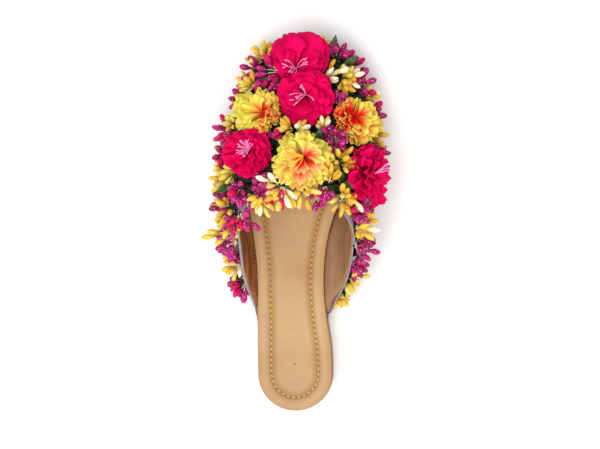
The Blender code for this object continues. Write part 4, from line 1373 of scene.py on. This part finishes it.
def make_flower(index, flower, seats, looks):
    """A flower's petals, whorl in whorl, on its own root and axis, and its stamens."""
    dice = np.random.default_rng(FLOWER_SEED + index)
    root, axis = flower_seat(flower)
    right, ahead = frame_of(axis)
    walls = walls_of(index, seats)
    local_walls = [(np.array([way @ right, way @ ahead, way @ axis]), limit) for way, limit in walls]
    whorls = [petal_whorl(flower, whorl, local_walls, dice) for whorl in WHORLS[flower.kind]]
    local = np.concatenate([points for points, _ in whorls])
    points = root + local[..., :1] * right + local[..., 1:2] * ahead + local[..., 2:] * axis
    points = press_together(points, seats[index][0], walls)
    along, across, tone, flush = (np.concatenate([marks[k] for _, marks in whorls]) for k in range(4))
    faces = repeated(grid_faces(*PETAL_STEPS), len(local), PETAL_STEPS[0] * PETAL_STEPS[1])
    look = looks.get(flower.name, looks[flower.colour])
    made = add_piece(f"{flower.name}_petals", points, faces, look, flower.colour, (flower.name,),
                     along=along, across=across, tone=tone, flush=flush)
    thicken(made, PETAL_THICKNESS)
    tufts = [row for row in STAMENS if row[0] == flower.name]
    if tufts:
        shapes = [stamen_tuft(flower, row, root, (right, ahead, axis), dice) for row in tufts]
        add_piece(f"{flower.name}_stamens", *joined(shapes), looks[tufts[0][1]], flower.colour)


def stamen_tuft(flower, row, root, directions, dice):
    """Thin threads that fan out of the eye to one side, each with a flat anther at its end."""
    _, _, count, heading, spread, length = row
    right, ahead, axis = directions
    t, swell = round_ended(STAMEN_STEPS[0])
    share = (np.arange(count) + 0.5) / count * 2 - 1
    strays = dice.uniform(-STAMEN_STRAYS, STAMEN_STRAYS, count)
    turn = np.radians(heading + spread * share + strays)[:, None]
    reach = length * dice.uniform(*STAMEN_LENGTHS, (count, 1)) * t
    bow = STAMEN_BOW * dice.uniform(-1, 1, (count, 1)) * np.sin(math.pi * t)
    lift = dice.uniform(0.0, STAMEN_LIFT, (count, 1))
    rise = flower.height * STAMENS_RISE[flower.kind] + lift
    up = flower.height * STAMENS_FROM[flower.kind] + rise * np.sin(t * math.pi / 2)
    out_x = flower.eye_x + reach * np.cos(turn) - bow * np.sin(turn)
    out_y = flower.eye_y + reach * np.sin(turn) + bow * np.cos(turn)
    paths = root + out_x[..., None] * right + out_y[..., None] * ahead + up[..., None] * axis
    anther = np.exp(-(((t - ANTHER_AT[0]) / ANTHER_AT[1]) ** 2))
    radii = (STAMEN_RADIUS + (ANTHER_RADIUS - STAMEN_RADIUS) * anther) * np.sqrt(swell)
    return tubes(paths, np.broadcast_to(radii, paths.shape[:2]), axis, STAMEN_STEPS[1], STAMEN_FLATNESS)


def make_flowers(looks):
    """All flowers, each of which knows where the widest part of the others is."""
    seats = []
    for flower in FLOWERS:
        root, axis = flower_seat(flower)
        seats.append((root + axis * flower.height * FLOWER_WIDEST, flower.radius))
    for index, flower in enumerate(FLOWERS):
        make_flower(index, flower, seats, looks)


# Bud sprays


def corners_of(name):
    """Corners of a node's solid in millimetres."""
    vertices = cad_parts[name].data.vertices
    corners = np.empty(len(vertices) * 3, np.float32)
    vertices.foreach_get("co", corners)
    return corners.reshape(-1, 3).astype(float) / MM


def bud_tips(corners, heart):
    """Tips of a spray's solid: its farthest corner marks one, that bud's corners go, and so on."""
    tips = []
    corners = corners[np.linalg.norm(corners - heart, axis=1) > SHORTEST_BUD]
    while len(corners):
        away = corners - heart
        far = np.linalg.norm(away, axis=1)
        way = away[np.argmax(far)] / far.max()
        near = np.linalg.norm(away - np.outer(away @ way, way), axis=1) < BUD_CLEARANCE
        tips.append(corners[near & (far > far.max() - TIP_DEPTH)].mean(axis=0))
        corners = corners[~near]
    return np.array(tips)


def filling_tips(tips, heart, normal, cone, dip, steepest, dice):
    """Tips of more buds in a cone about a spray's middle line, set at the golden angle from each other.

    A place is left out where it is near another bud, dips under the upper's face, or is close to the floor.
    """
    ways = unit(tips - heart)
    axis = unit(ways.sum(axis=0))
    right, ahead = frame_of(axis)
    step = np.arange(FILLING_BUDS)
    polar = math.radians(cone) * np.sqrt((step + 0.5) / FILLING_BUDS)
    turn = step * GOLDEN_ANGLE + dice.uniform(0, math.pi)
    aside = np.outer(np.cos(turn), right) + np.outer(np.sin(turn), ahead)
    tried = np.cos(polar)[:, None] * axis + np.sin(polar)[:, None] * aside
    reach = np.linalg.norm(tips - heart, axis=1).mean() * dice.uniform(*FILLING_REACH, FILLING_BUDS)
    steepest = max(steepest, axis[2] + STEEPER_BY)
    for way, far in zip(tried, reach):
        tip = heart + way * far
        clear = (ways @ way).max() < math.cos(FILLING_APART) and tip[2] > LOWEST_BUD
        if clear and way @ normal > -dip and way[2] < steepest:
            ways = np.vstack([ways, way])
            tips = np.vstack([tips, tip])
    return tips


def bud_shapes(heart, tips, length, radius):
    """Teardrop buds that end at the tips: the radius is a sine that leans to the outer end, to a power.

    The power falls along the bud, so that it tapers to its stem and is round at its tip.
    """
    t = (1 - np.cos(np.linspace(0, math.pi, BUD_STEPS[0]))) / 2
    way = unit(tips - heart)
    start = tips - way * length[:, None]
    paths = start[:, None] + (tips - start)[:, None] * t[:, None]
    power = BUD_ENDS[0] + (BUD_ENDS[1] - BUD_ENDS[0]) * t
    radii = radius[:, None] * np.maximum(np.sin(math.pi * t**BUD_LEANS), 0.0) ** power
    upright = frame_of(way)[1] + way[:, [1, 2, 0]] * BUD_TURN
    return (*tubes(paths, radii, upright[:, None], BUD_STEPS[1]), start, t)


def bunch(colour, heart, tips, odd_share, dice):
    """The buds of one spray: points, faces, the marks that their look reads, and where the stems end."""
    reach = np.linalg.norm(tips - heart, axis=1)
    longest, widest = BUD_SIZE[colour]
    length = np.minimum(longest * dice.uniform(*BUD_LENGTHS, len(tips)), reach * BUD_ROOM)
    radius = widest * dice.uniform(*BUD_WIDTHS, len(tips))
    points, faces, start, t = bud_shapes(heart, tips, length, radius)
    shape = (len(tips), *BUD_STEPS)
    odd = dice.uniform(size=len(tips)) < odd_share
    tone = dice.uniform(size=len(tips))
    marks = {
        "odd": np.broadcast_to(odd[:, None, None], shape).ravel(),
        "tone": np.broadcast_to(tone[:, None, None], shape).ravel(),
        "along": np.broadcast_to(t[None, :, None], shape).ravel(),
    }
    return points, faces, marks, start


def joined(shapes):
    """Several points-and-faces shapes as one."""
    first = np.cumsum([0] + [len(points) for points, _ in shapes[:-1]])
    faces = [faces + offset for (_, faces), offset in zip(shapes, first)]
    return np.concatenate([points for points, _ in shapes]), np.concatenate(faces)


def make_spray(name, row, dice, looks):
    """One spray's buds as a piece, with the heart and the ends of its stems."""
    colour, side, y, share, odd_share = row
    heart, normal = on_upper(side, y, share, GAP + SPRAY_HEART)
    tips = bud_tips(corners_of(name), heart)
    tips = filling_tips(tips, heart, normal, FILLING_CONE, SPRAYS_DIP, SPRAYS_STEEPEST, dice)
    points, faces, marks, ends = bunch(colour, heart, tips, odd_share, dice)
    add_piece(f"{name}_buds", points, faces, looks[f"{colour}_bud"], colour, (name,), **marks)
    return heart, ends


def heading_way(heading, rise):
    """Directions from a heading, medial side to toe, and a rise over the level, both in degrees."""
    turn, tilt = np.radians(heading), np.radians(rise)
    return np.stack([np.cos(turn) * np.cos(tilt), np.sin(turn) * np.cos(tilt), np.sin(tilt)], axis=-1)


def make_fillers(colour, dice, looks):
    """The loose sprays of one colour that fill the gaps, joined into one piece."""
    bunches, hearts = [], []
    for filler in (one for one in FILLERS if one.colour == colour):
        seat, normal = on_upper(filler.side, filler.y, filler.share, GAP)
        heart = seat + UP * filler.lift
        first_tip = heart + heading_way(filler.heading, filler.rise) * filler.reach
        tips = filling_tips(
            first_tip[None], heart, unit(normal + UP), filler.cone, FILLERS_DIP, FILLERS_STEEPEST, dice)
        bunches.append(bunch(colour, heart, tips, filler.odd_share, dice))
        hearts.append(heart)
    points, faces = joined([shape[:2] for shape in bunches])
    marks = {name: np.concatenate([shape[2][name] for shape in bunches]) for name in bunches[0][2]}
    add_piece(f"filler_buds_{colour}", points, faces, looks[f"{colour}_bud"], colour, **marks)
    return list(zip(hearts, (shape[3] for shape in bunches)))


def stem_paths(heart, ends, dice):
    """Stems from the heart to the buds, each bowed aside by a half sine."""
    t = np.linspace(0, 1, STEM_STEPS[0])[:, None]
    bow = dice.uniform(-1, 1, ends.shape) * STEM_BOW
    return heart + (ends - heart)[:, None] * (t * STEM_REACHES) + bow[:, None] * np.sin(math.pi * t)


def make_stems(bound, dice, looks):
    """The stems of all sprays, thin tubes that close to a point at both ends, as one piece."""
    paths = np.concatenate([stem_paths(heart, ends, dice) for heart, ends in bound])
    radii = np.full(paths.shape[:2], STEM_RADIUS)
    radii[:, [0, -1]] = 0.0
    upright = frame_of(unit(paths[:, -1] - paths[:, 0]))[1]
    points, faces = tubes(paths, radii, upright[:, None], STEM_STEPS[1])
    add_piece("bud_stems", points, faces, looks["stem"], "yellow")


def make_knots(hearts, looks):
    """The bound knots of all sprays, small balls in the carpet's dark green, painted as the shade they sit
    in, as one piece.
    """
    knots = beads(hearts, UP, KNOT_RADIUS, KNOT_RADIUS, FORWARDS, KNOT_STEPS)
    add_piece("spray_knots", *knots, looks["leaf_in_shade"], "yellow")


def make_sprays(looks):
    """All bound sprays, the loose ones between them, and then their stems and knots."""
    dice = np.random.default_rng(SPRAY_SEED)
    bound = [make_spray(f"spray_{row[0]}_{index:02d}", row, dice, looks)
             for index, row in enumerate(SPRAYS, start=1)]
    for colour in ("magenta", "yellow"):
        bound += make_fillers(colour, dice, looks)
    make_stems(bound, dice, looks)
    make_knots(np.array([heart for heart, _ in bound]), looks)


# Leaves


def leaf_shapes(root, way, normal, length):
    """Pointed leaves: the half width is a sine that leans to the base, folded along the rib and arched."""
    v = np.linspace(0, 1, LEAF_STEPS[0])[None, :, None, None]
    u = np.linspace(-1, 1, LEAF_STEPS[1])[None, None, :, None]
    way, normal, root = way[:, None, None], normal[:, None, None], root[:, None, None]
    size = length[:, None, None, None]
    across = np.cross(normal, way)
    half = size * LEAF_WIDTH / 2 * np.sin(math.pi * v**LEAF_LEANS)
    arch, fold = LEAF_RISE
    over = size * (arch * np.sin(math.pi * v) + fold * np.abs(u) * np.sin(math.pi * v))
    points = root + way * size * v + across * half * u + normal * over
    faces = repeated(grid_faces(*LEAF_STEPS), len(length), LEAF_STEPS[0] * LEAF_STEPS[1])
    return points.reshape(-1, 3), faces


def make_spray_leaves(looks):
    """The leaves that the photo shows, each turned a little upwards."""
    side, y, share, heading, rise, length = np.array(LEAVES, float).T
    way = heading_way(heading, rise)
    root, normal = on_upper(side, y, share, LEAF_LIFT)
    face = unit(square_to(normal + UP * LEAF_FACES_UP, way))
    points, faces = leaf_shapes(root, way, face, length)
    thicken(add_piece("spray_leaves", points, faces, looks["leaf"], "yellow"), LEAF_THICKNESS)


def make_leaf_carpet(looks):
    """Small leaves all over the upper, darkened as painted shade of the gaps, on a shaken grid, that lean out
    and lie nearly flat.
    """
    dice = np.random.default_rng(CARPET_SEED)
    along, up = np.meshgrid(np.linspace(0, 1, CARPET_ROWS[0]), np.linspace(*CARPET_SHARE, CARPET_ROWS[1]))
    along, share = (np.concatenate([grid.ravel()] * 2) for grid in (along, up))
    side = np.repeat([LATERAL, MEDIAL], len(share) // 2).astype(float)
    start = of_side(side, TOPLINE, share) + CARPET_Y[0]
    along = np.clip(along + dice.uniform(-CARPET_SHAKE, CARPET_SHAKE, len(along)), 0, 1)
    y = start + (CARPET_Y[1] - start) * along
    share = share + dice.uniform(-CARPET_SHAKE, CARPET_SHAKE, len(share))
    root, normal = on_upper(side, y, share, CARPET_LIFT)
    outwards, *most = CARPET_LEAN
    lean = np.stack([side * outwards, *(dice.uniform(-limit, limit, len(y)) for limit in most)], axis=-1)
    way = unit(unit(square_to(lean, normal)) + normal * CARPET_RISE)
    face = unit(square_to(normal, way))
    points, faces = leaf_shapes(root, way, face, dice.uniform(*CARPET_LENGTH, len(y)))
    thicken(add_piece("leaf_carpet", points, faces, looks["leaf_in_shade"], "yellow"), LEAF_THICKNESS)


# Stage


def soft_light(name, at, size, power):
    """A square area light that faces the middle of the shoe."""
    data = bpy.data.lights.new(name, "AREA")
    data.size = size * MM
    data.energy = power
    lamp = bpy.data.objects.new(name, data)
    bpy.context.scene.collection.objects.link(lamp)
    lamp.location = Vector(at) * MM
    way = Vector(CAMERA_LOOKS_AT) * MM - lamp.location
    lamp.rotation_euler = way.to_track_quat("-Z", "Y").to_euler()


def make_floor():
    """A wide pale floor just under the shoe."""
    half = FLOOR_SIZE / 2 * MM
    mesh = bpy.data.meshes.new("studio_floor")
    low = -FLOOR_DROP * MM
    mesh.from_pydata([(-half, -half, low), (half, -half, low), (half, half, low), (-half, half, low)],
                     [], [(0, 1, 2, 3)])
    look, shader = new_look("pale_floor", Roughness=0.9)
    clouds = noise(look, place(look), scale=2.0)
    paint(look, shader, shades(look, clouds, (0.3, grey(0.91)), (0.7, grey(0.93))))
    mesh.materials.append(look)
    floor = bpy.data.objects.new("studio_floor", mesh)
    bpy.context.scene.collection.objects.link(floor)


def make_camera():
    """A camera at the photo's place, turned to this shoe, with the toe at the top of the picture."""
    data = bpy.data.cameras.new("photo_camera")
    at, target = Vector(CAMERA_AT) * MM, Vector(CAMERA_LOOKS_AT) * MM
    data.sensor_width = SENSOR_WIDTH
    data.lens = SENSOR_WIDTH * (at - target).length / (FRAME_WIDTH * MM)
    back = (at - target).normalized()
    right = Vector((0.0, 1.0, 0.0)).cross(back).normalized()
    turn = Matrix((right, back.cross(right), back)).transposed()
    camera = bpy.data.objects.new("photo_camera", data)
    camera.matrix_world = Matrix.Translation(at) @ turn.to_4x4()
    bpy.context.scene.collection.objects.link(camera)
    bpy.context.scene.camera = camera


def make_studio():
    """White light from all round, two soft lights and the floor."""
    scene = bpy.context.scene
    scene.view_settings.view_transform = "Standard"
    world = bpy.data.worlds.new("soft_studio")
    world.use_nodes = True
    world.node_tree.nodes["Background"].inputs["Color"].default_value = WHITE
    world.node_tree.nodes["Background"].inputs["Strength"].default_value = WORLD_STRENGTH
    scene.world = world
    for name, at, size, power in SOFT_LIGHTS:
        soft_light(name, at, size, power)
    make_floor()


def main():
    """Sets up the studio and makes every piece."""
    make_camera()
    make_studio()
    looks = make_looks()
    make_outsole(looks)
    make_insole(looks)
    make_insole_stitches(looks)
    make_pin(looks)
    make_upper(looks)
    make_binding(looks)
    make_lining_seams(looks)
    make_flowers(looks)
    make_sprays(looks)
    make_spray_leaves(looks)
    make_leaf_carpet(looks)


main()
